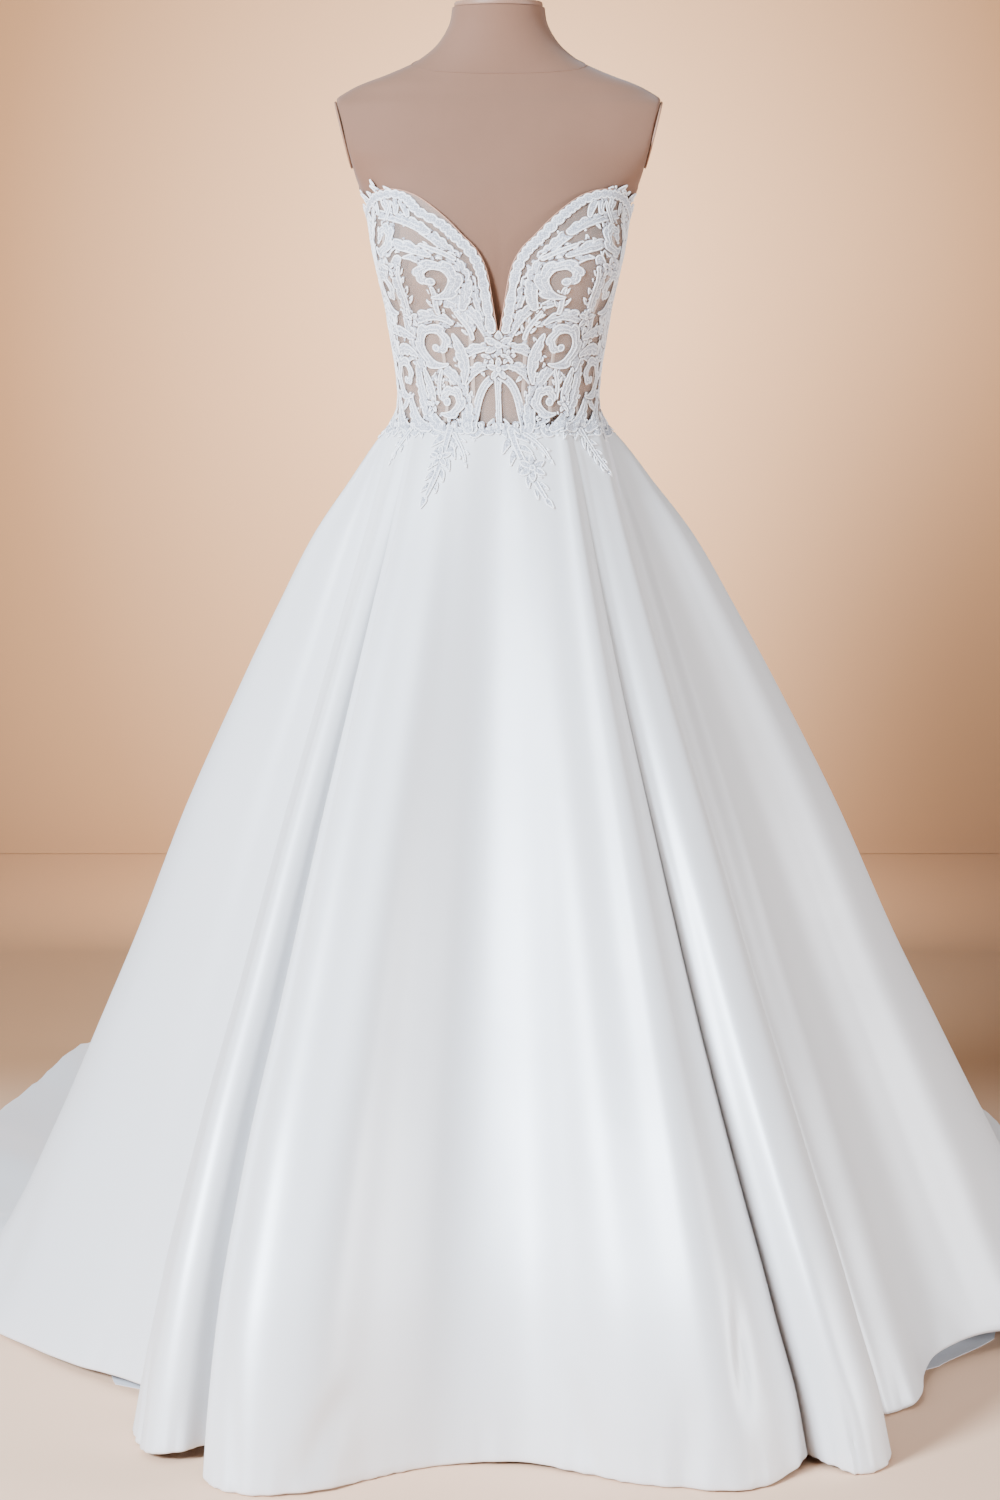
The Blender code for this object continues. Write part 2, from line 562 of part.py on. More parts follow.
def lining_panels(cuts):
    """Panels between the folds at the waist angles in cuts, from one surface, so that they meet along their seams."""
    grid = [[fold_at(fold, share, LINING_LIFT) for fold in LINING_FOLDS] for share in LINING_ROWS]
    toes = []
    for fold, hem in zip(LINING_FOLDS, grid[-1]):
        out = Vector((hem.x, hem.y, 0)).normalized()
        toes.append(Vector((hem.x, hem.y, LINING_WALL + FLOOR_CLEAR)) + out * fold["toe"])
    for hem in grid[-1]:
        hem.z = 0.006
    grid.append(toes)
    normals = grid_normals(grid)
    waists = [fold["waist"] for fold in LINING_FOLDS]
    for name, start, end in cuts:
        first, last = waists.index(start), waists.index(end)
        shell, under = [], []
        for r, line in enumerate(grid):
            top, low = [], []
            for c in range(first, last + 1):
                point, normal = line[c].copy(), normals[r][c]
                if c == first:
                    point += (line[c + 1] - point).normalized() * SEAM_GAP / 2
                if c == last:
                    point += (line[c - 1] - point).normalized() * SEAM_GAP / 2
                if abs(waists[c]) == 180:
                    normal = Vector((0, normal.y, normal.z)).normalized()
                if r == 0:
                    normal = Vector((normal.x, normal.y, 0)).normalized()
                if r == len(grid) - 1:
                    normal = Vector((0, 0, 1))
                top.append(point)
                low.append(point - normal * LINING_WALL)
            shell.append(top)
            under.append(low)
        wall(name, shell, under, LINING)


lining_panels(
    [
        ("lining_back_right", -180, -125),
        ("lining_side_right", -125, -79),
        ("lining_front", -79, 78),
        ("lining_side_left", 78, 125),
        ("lining_back_left", 125, 180),
    ]
)


# --- lace ------------------------------------------------------------------------------------------
# Ribbons, leaves and flowers charted flat in mm, joined where they cross, cut through between, and laid on the net and
# over the top of the skirt. across: from centre front. up: from the waist seam.

LACE = satin_like("lace", (0.86, 0.87, 0.92), 0.75)
RIBBON = "side x0 y0 x1 y1 x2 y2 x3 y3 start middle end"
FRONT_RIBBONS = named_rows(
    RIBBON,
    [
        (0, 10, 106, 24, 168, 38, 208, 64, 228, 9, 10, 10),
        (0, 62, 227, 78, 241, 96, 246, 124, 248, 9, 11, 10),
        (0, 0, -4, 2, 20, -2, 40, 0, 60, 6, 6, 9),
        (0, 2, 60, 18, 54, 27, 36, 29, -2, 9, 9, 10),
        (0, 4, 72, 22, 76, 36, 62, 44, 46, 7, 11, 7),
        (0, 4, 92, 22, 98, 36, 86, 50, 80, 6, 11, 7),
        (0, 8, 100, 16, 122, 26, 136, 40, 142, 9, 11, 8),
        (0, 34, -2, 40, 30, 44, 52, 66, 70, 12, 14, 11),
        (0, 64, -2, 90, 10, 110, 30, 106, 70, 11, 15, 10),
        (0, 98, 70, 108, 98, 112, 120, 98, 140, 12, 14, 11),
        (0, 88, 196, 98, 178, 94, 150, 100, 132, 10, 13, 9),
        (0, 36, 140, 30, 158, 30, 180, 44, 200, 9, 12, 9),
        (0, 84, -2, 104, 2, 122, 14, 130, 36, 10, 12, 9),
        (0, 118, -2, 140, 2, 158, 14, 168, 34, 10, 12, 9),
        (0, 160, -2, 176, 4, 190, 8, 206, 22, 9, 11, 9),
        (0, 152, 80, 164, 96, 160, 122, 152, 142, 11, 13, 10),
        (0, 204, 58, 196, 74, 200, 86, 202, 104, 10, 12, 10),
        (0, 150, 138, 148, 168, 162, 186, 164, 212, 10, 13, 10),
        (0, 205, 134, 198, 152, 192, 168, 188, 184, 10, 12, 10),
        (0, 92, 210, 106, 202, 114, 192, 120, 184, 9, 11, 9),
        (0, 142, 226, 152, 238, 160, 242, 176, 242, 10, 14, 9),
        (0, 42, 52, 36, 70, 42, 90, 50, 108, 5, 13, 4),
        (0, 50, 122, 66, 138, 84, 130, 98, 120, 6, 12, 5),
        (0, 106, 84, 118, 94, 134, 94, 150, 86, 6, 13, 6),
        (0, 102, 104, 118, 112, 136, 116, 154, 112, 6, 12, 6),
        (0, 60, 200, 72, 208, 86, 214, 102, 214, 6, 12, 5),
        (0, 150, 178, 142, 190, 140, 202, 146, 216, 6, 12, 6),
        (0, 160, 160, 172, 160, 186, 154, 200, 144, 6, 12, 6),
        (0, 160, 78, 172, 86, 186, 84, 200, 76, 6, 11, 6),
        (0, 88, 14, 84, 34, 90, 50, 96, 68, 6, 12, 4),
        (0, 100, 248, 102, 260, 106, 270, 114, 279, 8, 10, 3),
        (0, 112, 248, 116, 262, 121, 271, 130, 279, 8, 10, 3),
        (0, 126, 248, 131, 260, 137, 268, 146, 275, 8, 10, 3),
        (0, 140, 246, 147, 256, 154, 263, 163, 268, 8, 10, 3),
        (0, 155, 243, 162, 252, 170, 258, 180, 262, 8, 10, 3),
        (0, 170, 240, 178, 246, 186, 251, 197, 254, 8, 10, 3),
        (0, 88, 246, 90, 256, 94, 266, 101, 275, 7, 9, 3),
        (0, 0, -2, 60, -8, 130, 4, 206, -4, 12, 13, 11),
        (0, 10, -6, 14, -12, 16, -18, 22, -24, 8, 11, 3),
        (0, 30, -6, 36, -12, 38, -18, 38, -26, 8, 11, 3),
        (0, 84, -4, 90, -10, 92, -16, 94, -24, 8, 11, 3),
        (0, 102, -4, 108, -12, 114, -16, 120, -24, 8, 11, 3),
        (0, 186, -4, 190, -12, 192, -18, 198, -24, 8, 10, 3),
        (-1, 58, -4, 62, -30, 66, -50, 78, -84, 8, 8, 3),
        (-1, 60, -18, 72, -20, 82, -32, 80, -46, 6, 10, 3),
        (-1, 63, -34, 54, -38, 48, -50, 54, -62, 5, 10, 3),
        (-1, 67, -50, 78, -52, 88, -62, 86, -76, 5, 10, 3),
        (-1, 70, -60, 62, -66, 60, -74, 66, -84, 5, 9, 3),
        (-1, 140, -2, 150, -18, 160, -30, 172, -44, 8, 8, 3),
        (-1, 150, -14, 148, -26, 150, -34, 158, -42, 5, 8, 3),
        (-1, 156, -22, 168, -22, 176, -28, 180, -36, 5, 8, 3),
        (1, 12, -4, 20, -34, 34, -52, 52, -88, 8, 8, 3),
        (1, 16, -18, 30, -20, 40, -32, 38, -46, 6, 11, 3),
        (1, 24, -34, 12, -38, 6, -50, 10, -62, 5, 11, 3),
        (1, 34, -50, 46, -50, 56, -60, 56, -72, 5, 10, 3),
        (1, 40, -62, 28, -66, 24, -76, 30, -86, 5, 9, 3),
        (1, 130, -2, 142, -18, 152, -34, 168, -50, 8, 8, 3),
        (1, 140, -12, 138, -26, 140, -36, 148, -44, 5, 9, 3),
        (1, 150, -24, 162, -22, 170, -28, 176, -36, 5, 9, 3),
    ],
)
BACK_RIBBONS = named_rows(
    RIBBON,
    [
        (0, 216, -2, 222, 14, 226, 26, 232, 38, 10, 13, 9),
        (0, 214, 40, 222, 80, 214, 110, 222, 140, 10, 13, 9),
        (0, 216, 138, 208, 160, 216, 190, 212, 232, 10, 13, 9),
        (0, 262, 60, 272, 84, 268, 104, 260, 128, 10, 13, 9),
        (0, 284, -2, 290, 12, 292, 24, 296, 42, 10, 12, 9),
        (0, 302, 90, 296, 104, 300, 116, 304, 128, 10, 13, 9),
        (0, 270, 150, 276, 160, 284, 158, 290, 148, 8, 11, 8),
        (0, 236, 88, 230, 100, 232, 112, 240, 124, 9, 12, 8),
        (0, 262, 170, 258, 190, 252, 206, 256, 222, 9, 12, 8),
        (0, 324, 168, 330, 178, 336, 184, 346, 190, 9, 12, 8),
        (0, 306, 172, 300, 184, 304, 192, 312, 198, 8, 11, 8),
        (0, 344, -2, 350, 10, 352, 22, 354, 32, 10, 12, 9),
        (0, 380, -2, 386, 40, 376, 110, 380, 182, 10, 12, 10),
        (0, 356, 72, 348, 88, 348, 100, 352, 112, 9, 12, 9),
        (0, 326, 62, 336, 84, 332, 108, 328, 134, 9, 12, 8),
        (0, 364, 152, 358, 164, 356, 172, 362, 184, 8, 11, 8),
        (0, 214, 20, 222, 24, 246, 20, 256, 22, 7, 10, 7),
        (0, 300, 20, 308, 24, 314, 22, 320, 18, 7, 10, 7),
        (0, 364, 24, 372, 24, 376, 26, 382, 28, 7, 9, 7),
        (0, 368, 104, 374, 102, 376, 100, 382, 98, 7, 9, 7),
        (0, 211, -4, 260, 6, 330, -10, 387, -4, 12, 13, 11),
        (0, 232, -6, 238, -12, 240, -18, 238, -24, 8, 11, 3),
        (0, 276, -4, 280, -12, 286, -18, 292, -24, 8, 11, 3),
        (0, 322, -6, 328, -12, 328, -18, 326, -26, 8, 11, 3),
        (0, 366, -6, 370, -14, 374, -20, 376, -28, 8, 11, 3),
        (0, 234, 132, 230, 138, 224, 142, 216, 142, 8, 10, 8),
        (0, 328, 112, 336, 104, 342, 106, 350, 112, 7, 10, 7),
        (0, 322, 62, 332, 66, 338, 58, 344, 52, 8, 11, 8),
        (0, 240, 170, 236, 182, 234, 190, 228, 198, 8, 11, 8),
        (0, 328, 150, 336, 152, 342, 146, 346, 140, 7, 10, 7),
    ],
)
# A curl starts this many degrees round from straight up and sweeps inward, from its first width to its last.
SCROLL = "side x y radius from sweep first last leaves"
FRONT_SCROLLS = named_rows(
    SCROLL,
    [
        (0, 72, 98, 27, 205, -400, 15, 8, 5),
        (0, 62, 176, 25, 170, 350, 15, 8, 5),
        (0, 136, 60, 26, 200, -390, 14, 8, 5),
        (0, 124, 160, 27, 190, -380, 15, 8, 5),
        (0, 180, 116, 22, 170, 360, 13, 8, 4),
        (0, 184, 198, 21, 200, -350, 13, 8, 4),
        (0, 62, 32, 19, 150, 340, 12, 8, 3),
        (0, 188, 40, 19, 190, -340, 12, 8, 3),
        (0, 112, 222, 19, 130, 330, 12, 8, 3),
    ],
)
BACK_SCROLLS = named_rows(
    SCROLL,
    [
        (0, 240, 60, 24, 200, -370, 14, 8, 5),
        (0, 248, 148, 25, 190, -370, 14, 8, 5),
        (0, 228, 206, 17, 150, 330, 11, 7, 3),
        (0, 302, 66, 25, 170, 370, 14, 8, 5),
        (0, 308, 150, 23, 160, 350, 14, 8, 5),
        (0, 358, 52, 21, 200, -360, 13, 8, 4),
        (0, 354, 132, 21, 200, -360, 13, 8, 4),
        (0, 270, 20, 15, 200, -330, 11, 7, 3),
        (0, 332, 18, 14, 160, 330, 10, 7, 3),
        (0, 284, 190, 15, 160, 330, 11, 7, 3),
    ],
)
FLOWERS = named_rows(
    "side x y size petals",
    [
        (1, 0, 92, 16, 6),
        (1, 0, 68, 11, 5),
        (0, 104, 186, 11, 5),
        (0, 98, 128, 11, 5),
        (0, 154, 148, 10, 5),
    ],
)
BORDER_FRONT, BORDER_BACK = (1.6, 94.0), (97.5, 176.0)  # degrees, from and to
BORDER_INSET, BORDER_WIDTH = 2.5, 9.5  # mm
SMALLEST_GAP = 50  # mm2: a smaller gap is closed
GRID_STEP = 1.5  # mm
STRAYS = 1.7  # mm: how far a simplified outline may stray
LONGEST_EDGE = 16  # mm
MELT = 0.65  # the higher, the smaller the fillets where strokes meet


def ribbon(row, side, steps=8):
    """A stroke: points of a cubic centre line, each with a half width."""
    corners = [Vector((row[f"x{i}"] * side, row[f"y{i}"])) for i in range(4)]
    stroke = []
    for k in range(steps + 1):
        t = k / steps
        weights = ((1 - t) ** 3, 3 * t * (1 - t) ** 2, 3 * t**2 * (1 - t), t**3)
        bulge = math.sin(math.pi * t)
        half = ((1 - t) * row["start"] + t * row["end"]) / 2 * (1 - bulge) + row["middle"] / 2 * bulge
        stroke.append((sum((corner * weight for corner, weight in zip(corners, weights)), Vector((0, 0))), half))
    return stroke


def curl_at(row, side, t):
    """The direction from the curl's middle and the point a share t of the way along it."""
    turn = math.radians(row["from"] + row["sweep"] * t)
    out = Vector((side * math.sin(turn), math.cos(turn)))
    return out, Vector((row["x"] * side, row["y"])) + out * row["radius"] * (1 - 0.8 * t**1.15)


def scroll(row, side, steps=18):
    """Strokes for a curl of ribbon with a round bud at its inner end and leaves along its back."""
    line = [(curl_at(row, side, k / steps)[1], ((1 - k / steps) * row["first"] + k / steps * row["last"]) / 2) for k in range(steps + 1)]
    bud = [(line[-1][0], row["last"] * 0.75), (line[-1][0] + Vector((0.1, 0)), row["last"] * 0.75)]
    strokes = [line, bud]
    for k in range(row["leaves"]):
        t = (k + 0.55) / row["leaves"] * 0.62
        out, at = curl_at(row, side, t)
        along = Vector((out.y, -out.x)) * math.copysign(side, row["sweep"])
        length = row["radius"] * (0.95 - 0.25 * t) * (1.15 if k % 2 else 0.9)
        points = [at, at + (out * 0.38 + along * 0.12) * length, at + (out * 0.6 + along * 0.42) * length, at + (out * 0.64 + along * 0.8) * length]
        strokes.append(list(zip(points, (row["first"] * 0.30, row["first"] * 0.36, row["first"] * 0.30, 1.2))))
    return strokes


def flower(row, side):
    """Strokes for the petals, from the middle out."""
    middle = Vector((row["x"] * side, row["y"]))
    size = row["size"]
    strokes = []
    for k in range(row["petals"]):
        turn = 2 * math.pi * k / row["petals"]
        out = Vector((math.sin(turn), math.cos(turn))) * size
        strokes.append([(middle, size * 0.3), (middle + out * 0.62, size * 0.27), (middle + out * 0.9, size * 0.12)])
    return strokes


def border(first, last, side, count=60):
    """The stroke of the corded edging, which follows the neckline."""
    edge = []
    for k in range(count + 1):
        degrees = first + (last - first) * k / count
        edge.append(Vector((math.radians(degrees) * LACE_RADIUS * 1000 * side, (table_value(NECKLINE, "angle", "z", degrees) - WAIST_Z) * 1000)))
    stroke = []
    for i, point in enumerate(edge):
        along = (edge[min(i + 1, count)] - edge[max(i - 1, 0)]).normalized() * side
        stroke.append((point + Vector((along.y, -along.x)) * (BORDER_INSET + BORDER_WIDTH / 2), BORDER_WIDTH / 2))
    return stroke


def field_of(strokes, low, high, step):
    """A grid of how far inside the strokes each place is, in mm, kept between two distances from centre front."""
    ends = np.array([(at.x, at.y) for stroke in strokes for at, _ in stroke])
    xs = np.arange(max(low, ends[:, 0].min() - 12) - 2 * step, min(high, ends[:, 0].max() + 12) + 3 * step, step)
    ys = np.arange(ends[:, 1].min() - 12, ends[:, 1].max() + 12, step)
    total = np.full((len(ys), len(xs)), 1e-12)
    for stroke in strokes:
        reach = max(half for _, half in stroke) + 6
        span = [(min(at[n] for at, _ in stroke) - reach, max(at[n] for at, _ in stroke) + reach) for n in (0, 1)]
        i0, i1 = np.searchsorted(xs, span[0])
        j0, j1 = np.searchsorted(ys, span[1])
        if i0 == i1 or j0 == j1:
            continue
        x, y = np.meshgrid(xs[i0:i1], ys[j0:j1])
        best = np.full(x.shape, -1e3)
        for (a, half_a), (b, half_b) in zip(stroke, stroke[1:]):
            along = b - a
            share = np.clip(((x - a.x) * along.x + (y - a.y) * along.y) / max(along.length_squared, 1e-9), 0, 1)
            away = np.hypot(x - a.x - share * along.x, y - a.y - share * along.y)
            best = np.maximum(best, half_a + share * (half_b - half_a) - away)
        total[j0:j1, i0:i1] += np.exp(MELT * best)
    field = np.log(total) / MELT
    return xs, ys, np.minimum(field, np.minimum(xs - low, high - xs)[None, :])


# For each way that a cell's corners lie inside (1 low left, 2 low right, 4 high right, 8 high left): which side the
# outline comes in by and which it leaves by, with the inside on its left.
CELL_WAYS = {
    1: ["BL"], 2: ["RB"], 3: ["RL"], 4: ["TR"], 5: ["BL", "TR"], 6: ["TB"], 7: ["TL"],
    8: ["LT"], 9: ["BT"], 10: ["RB", "LT"], 11: ["RT"], 12: ["LR"], 13: ["BR"], 14: ["LB"],
}


def outlines(xs, ys, field):
    """The closed lines where the field is nought, with the inside on the left."""
    inside = (field > 0).astype(int)
    codes = inside[:-1, :-1] + 2 * inside[:-1, 1:] + 4 * inside[1:, 1:] + 8 * inside[1:, :-1]
    onward = {}
    for j, i in zip(*np.nonzero((codes > 0) & (codes < 15))):
        sides = {"B": (j, i, 0), "T": (j + 1, i, 0), "L": (j, i, 1), "R": (j, i + 1, 1)}
        for way in CELL_WAYS[int(codes[j, i])]:
            onward[sides[way[0]]] = sides[way[1]]

    def crossing(side):
        j, i, upright = side
        here, there = field[j, i], field[j + upright, i + 1 - upright]
        share = here / (here - there)
        step = xs[1] - xs[0]
        return Vector((xs[i] + step * share * (1 - upright), ys[j] + step * share * upright))

    loops = []
    while onward:
        start = next(iter(onward))
        loop, side = [], start
        while side in onward:
            loop.append(crossing(side))
            side = onward.pop(side)
        loops.append(loop)
    return loops


def area_in(loop):
    return sum(a.cross(b) for a, b in zip(loop, loop[1:] + loop[:1])) / 2


def simplified(loop, stray, longest):
    """The loop with fewer points, none of its edges over the longest."""

    def thin(part):
        if len(part) < 3:
            return part
        along = part[-1] - part[0]
        length = max(along.length, 1e-9)
        away = [abs(along.cross(point - part[0])) / length if along.length > 1e-6 else (point - part[0]).length for point in part]
        most = max(range(1, len(part) - 1), key=lambda n: away[n])
        if away[most] <= stray:
            return [part[0], part[-1]]
        return thin(part[: most + 1])[:-1] + thin(part[most:])

    far = max(range(len(loop)), key=lambda n: (loop[n] - loop[0]).length)
    kept = thin(loop[: far + 1])[:-1] + thin(loop[far:] + loop[:1])[:-1]
    made = []
    for a, b in zip(kept, kept[1:] + kept[:1]):
        pieces = math.ceil((b - a).length / longest)
        made += [a.lerp(b, k / pieces) for k in range(pieces)]
    return made


def skirt_skin(degrees, share, lift):
    """A point over the top of the skirt by its angle at the waist, clear of the folded edges."""
    seen = FRONT_PANEL[1:-1] + REST_OF_SKIRT[3:-3]
    rows = []
    for fold in seen:
        at = fold_at(fold, share, lift)
        waist = fold["waist"] if fold["waist"] > -180 else fold["waist"] + 360
        rows.append({"waist": waist, "x": at.x, "y": at.y, "z": at.z})
        if waist == 180:
            rows.append(dict(rows[-1], waist=-180))
    rows.sort(key=lambda row: row["waist"])
    return Vector([table_value(rows, "waist", axis, degrees) for axis in "xyz"])


def lace_at(across, up, out):
    """A charted point, in mm, on the net or on the skirt."""
    angle = across / 1000 / LACE_RADIUS
    if up >= 0:
        bust = math.exp(-(((abs(across) - 108) / 42) ** 2) - ((up - 196) / 42) ** 2)
        ramp = 0.0042 * max(0, 1 - up / 18) + 0.0017 * bust
        return on_net(angle, WAIST_Z + up / 1000, LACE_LIFT + ramp + out)
    share = -up / 1000 / WAIST_Z
    left, here, right, below = (
        skirt_skin(math.degrees(a), s, FRONT_LIFT) for a, s in ((angle - 0.01, share), (angle, share), (angle + 0.01, share), (angle, share + 0.01))
    )
    ramp = 0.0012 * max(0, 1 + up / 25) + (0.0018 if abs(across) > 120 else 0.0003)
    return here + (below - here).cross(right - left).normalized() * (LACE_LIFT + ramp + out)


def cut_sheet(strokes, low, high):
    """One flat mesh of the strokes, cut through where they leave a gap: (points, triangles)."""
    xs, ys, field = field_of(strokes, low, high, GRID_STEP)
    loops = outlines(xs, ys, field)
    whole = max(loops, key=area_in)
    gaps = [loop for loop in loops if area_in(loop) < -SMALLEST_GAP]
    corners, faces = [], []
    for loop in [whole] + gaps:
        loop = simplified(loop, STRAYS, LONGEST_EDGE)
        if area_in(loop) < 0:
            loop.reverse()
        faces.append(list(range(len(corners), len(corners) + len(loop))))
        corners += loop
    for j in range(4, len(ys), round(LONGEST_EDGE * 0.8 / GRID_STEP)):
        for i in range(4, len(xs), round(LONGEST_EDGE * 0.8 / GRID_STEP)):
            if field[j, i] > 4.5:
                corners.append(Vector((xs[i], ys[j])))
    points, _, triangles, _, _, sources = delaunay_2d_cdt(corners, [], faces, 0, 0.01, True)
    return points, [list(triangle) for triangle, source in zip(triangles, sources) if list(source) == [0]]


def lace_piece(name, strokes, low=-207.0, high=207.0):
    """One cut-through lace panel, kept between two distances from centre front."""
    flat, triangles = cut_sheet(strokes, low, high)
    used = sorted({n for triangle in triangles for n in triangle})
    place = {n: i for i, n in enumerate(used)}
    count = len(used)
    points = [lace_at(flat[n].x, flat[n].y, LACE_WALL) for n in used] + [lace_at(flat[n].x, flat[n].y, 0) for n in used]
    faces, seen = [], {}
    for triangle in triangles:
        a, b, c = (place[n] for n in triangle)
        faces += [(a, b, c), (a + count, c + count, b + count)]
        for pair in ((a, b), (b, c), (c, a)):
            seen[pair] = seen.get(pair, 0) + 1
    for a, b in seen:
        if (b, a) not in seen:
            faces.append((b, a, a + count, b + count))
    return solid(name, points, faces, LACE)


front = []
for side in (-1, 1):
    front.append(border(*BORDER_FRONT, side))
    front += [ribbon(row, side) for row in FRONT_RIBBONS if row["side"] in (0, side)]
    for row in FLOWERS:
        if row["side"] in (0, side):
            front += flower(row, side)
    for row in FRONT_SCROLLS:
        front += scroll(row, side)
lace_piece("lace_front", front)
for side, word in ((1, "left"), (-1, "right")):
    back = [border(*BORDER_BACK, side)] + [ribbon(row, side) for row in BACK_RIBBONS]
    for row in BACK_SCROLLS:
        back += scroll(row, side)
    lace_piece(f"lace_back_{word}", back, min(208.2 * side, 387 * side), max(208.2 * side, 387 * side))


# --- centre-back zip ---------------------------------------------------------------------------------
# The slider at the top of the concealed zip, with a pull tab that hangs from its bridge and swings up.

ZIP_TOP_Z = 1.2285
BRIDGE_CENTRE, BRIDGE_DROP = 0.0033, 0.0023  # the pull's axis: out from the slider's back, below its middle


def frame_solid(name, outer, hole, low, high, place):
    """A plate with one hole: both outlines have the same number of corners, and place turns (a, b, depth) into a point."""
    count = len(outer)
    points = [place(a, b, depth) for depth in (low, high) for loop in (outer, hole) for a, b in loop]
    faces = []
    for i in range(count):
        n = (i + 1) % count
        faces.append((i, count + i, count + n, n))
        faces.append((2 * count + i, 2 * count + n, 3 * count + n, 3 * count + i))
        faces.append((i, n, 2 * count + n, 2 * count + i))
        faces.append((count + i, 3 * count + i, 3 * count + n, count + n))
    return solid(name, points, faces, ZIP)


zip_back_y = bodice_at(math.pi, ZIP_TOP_Z).y + 0.0005
frame_solid(
    "zip_slider",
    [(0, -0.0055), (0.0044, -0.0055), (0.005, -0.0048), (0.005, 0.0048), (0.0044, 0.0055), (0, 0.0055)],
    [(0.0026, -0.0032), (0.0036, -0.0032), (0.004, -0.0028), (0.004, 0.0028), (0.0036, 0.0032), (0.0026, 0.0032)],
    -0.0015,
    0.0015,
    lambda out, up, across: Vector((across, zip_back_y + out, ZIP_TOP_Z + up)),
)
frame_solid(
    "zip_pull",
    [(-0.0036, 0.0004), (0.0036, 0.0004), (0.0036, -0.012), (0.0030, -0.024), (0, -0.0265), (-0.0030, -0.024), (-0.0036, -0.012)],
    [(-0.0021, -0.0004), (0.0021, -0.0004), (0.0021, -0.0060), (0.0016, -0.0088), (0, -0.0092), (-0.0016, -0.0088), (-0.0021, -0.0060)],
    -0.0004,
    0.0004,
    lambda across, up, out: Vector((across, zip_back_y + BRIDGE_CENTRE + out, ZIP_TOP_Z - BRIDGE_DROP + up)),
)
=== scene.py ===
"""Looks for the strapless lace and satin ball gown on its dress form. Metres, +Z up, front towards -Y."""

import math

import bpy
import numpy as np
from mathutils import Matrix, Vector
from mathutils.bvhtree import BVHTree
from mathutils.geometry import delaunay_2d_cdt


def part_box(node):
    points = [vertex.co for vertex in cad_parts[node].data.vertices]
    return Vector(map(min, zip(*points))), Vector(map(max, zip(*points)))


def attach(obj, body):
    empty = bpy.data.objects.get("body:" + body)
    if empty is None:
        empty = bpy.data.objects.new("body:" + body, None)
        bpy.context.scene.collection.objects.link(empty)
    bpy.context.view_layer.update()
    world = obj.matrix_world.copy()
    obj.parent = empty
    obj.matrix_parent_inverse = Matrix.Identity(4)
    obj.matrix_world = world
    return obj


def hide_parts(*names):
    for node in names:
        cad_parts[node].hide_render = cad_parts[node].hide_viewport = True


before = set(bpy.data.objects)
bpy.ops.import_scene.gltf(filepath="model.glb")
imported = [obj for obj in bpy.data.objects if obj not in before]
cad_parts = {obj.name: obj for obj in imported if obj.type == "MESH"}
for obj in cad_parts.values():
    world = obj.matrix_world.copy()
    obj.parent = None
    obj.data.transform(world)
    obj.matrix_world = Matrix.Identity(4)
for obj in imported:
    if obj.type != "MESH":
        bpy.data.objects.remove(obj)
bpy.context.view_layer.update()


# --- steel stand ------------------------------------------------------
# A round base, a pole and a flange, turned from mild steel with eased edges, screwed together and powder
# coated in warm grey. The base keeps the form upright and is hidden under the skirt.


def blank_material(name, colour, roughness, on_cloth=False, **sockets):
    """A Principled material, its node tree, its shader, and the coordinate that its patterns lie on, which is
    the place on the flat cloth or in the object. Uniform values sit on the shader's own sockets.
    """
    material = bpy.data.materials.new(name)
    material.use_nodes = True
    tree = material.node_tree
    shader = tree.nodes["Principled BSDF"]
    shader.inputs["Base Color"].default_value = (*colour, 1)
    shader.inputs["Roughness"].default_value = roughness
    for socket, value in sockets.items():
        shader.inputs[socket.replace("_", " ")].default_value = value
    material.diffuse_color = (*colour, 1)
    if on_cloth:
        spot = add_node(tree, "ShaderNodeAttribute", attribute_name="cut").outputs["Vector"]
    else:
        spot = add_node(tree, "ShaderNodeTexCoord").outputs["Object"]
    return material, tree, shader, spot


def add_node(tree, kind, inputs=None, **settings):
    """A node with its settings. An input that is given a socket is linked to it."""
    made = tree.nodes.new(kind)
    for name, value in settings.items():
        setattr(made, name, value)
    for name, value in (inputs or {}).items():
        if isinstance(value, bpy.types.NodeSocket):
            tree.links.new(value, made.inputs[name])
        else:
            made.inputs[name].default_value = value
    return made


def noise(tree, where, scale, detail=3.0, stretch=(1, 1, 1)):
    """Noise over a coordinate, stretched along some of its axes."""
    place = add_node(tree, "ShaderNodeMapping", {"Vector": where, "Scale": stretch})
    inputs = {"Vector": place.outputs[0], "Scale": scale, "Detail": detail}
    return add_node(tree, "ShaderNodeTexNoise", inputs).outputs["Fac"]


def tinted(tree, shader, factor, stops):
    """Colours the shader by a ramp over a factor: stops are (position, colour)."""
    ramp = add_node(tree, "ShaderNodeValToRGB", {"Fac": factor})
    for element, (position, colour) in zip(ramp.color_ramp.elements, (stops[0], stops[-1])):
        element.position = position
        element.color = (*colour, 1)
    for position, colour in stops[1:-1]:
        ramp.color_ramp.elements.new(position).color = (*colour, 1)
    tree.links.new(ramp.outputs["Color"], shader.inputs["Base Color"])
    return ramp.outputs["Color"]


def mottled(tree, shader, spot, scale, dark, light, detail=3.0):
    """Colours the shader by soft noise, from a dark tone to a light one."""
    tinted(tree, shader, noise(tree, spot, scale, detail), [(0.3, dark), (0.7, light)])


def roughened(tree, shader, *heights):
    """Bumps, one on another: heights are (socket, depth in metres)."""
    normal = None
    for height, depth in heights:
        bump = add_node(tree, "ShaderNodeBump", {"Height": height, "Strength": 1.0, "Distance": depth})
        if normal:
            tree.links.new(normal, bump.inputs["Normal"])
        normal = bump.outputs["Normal"]
    tree.links.new(normal, shader.inputs["Normal"])


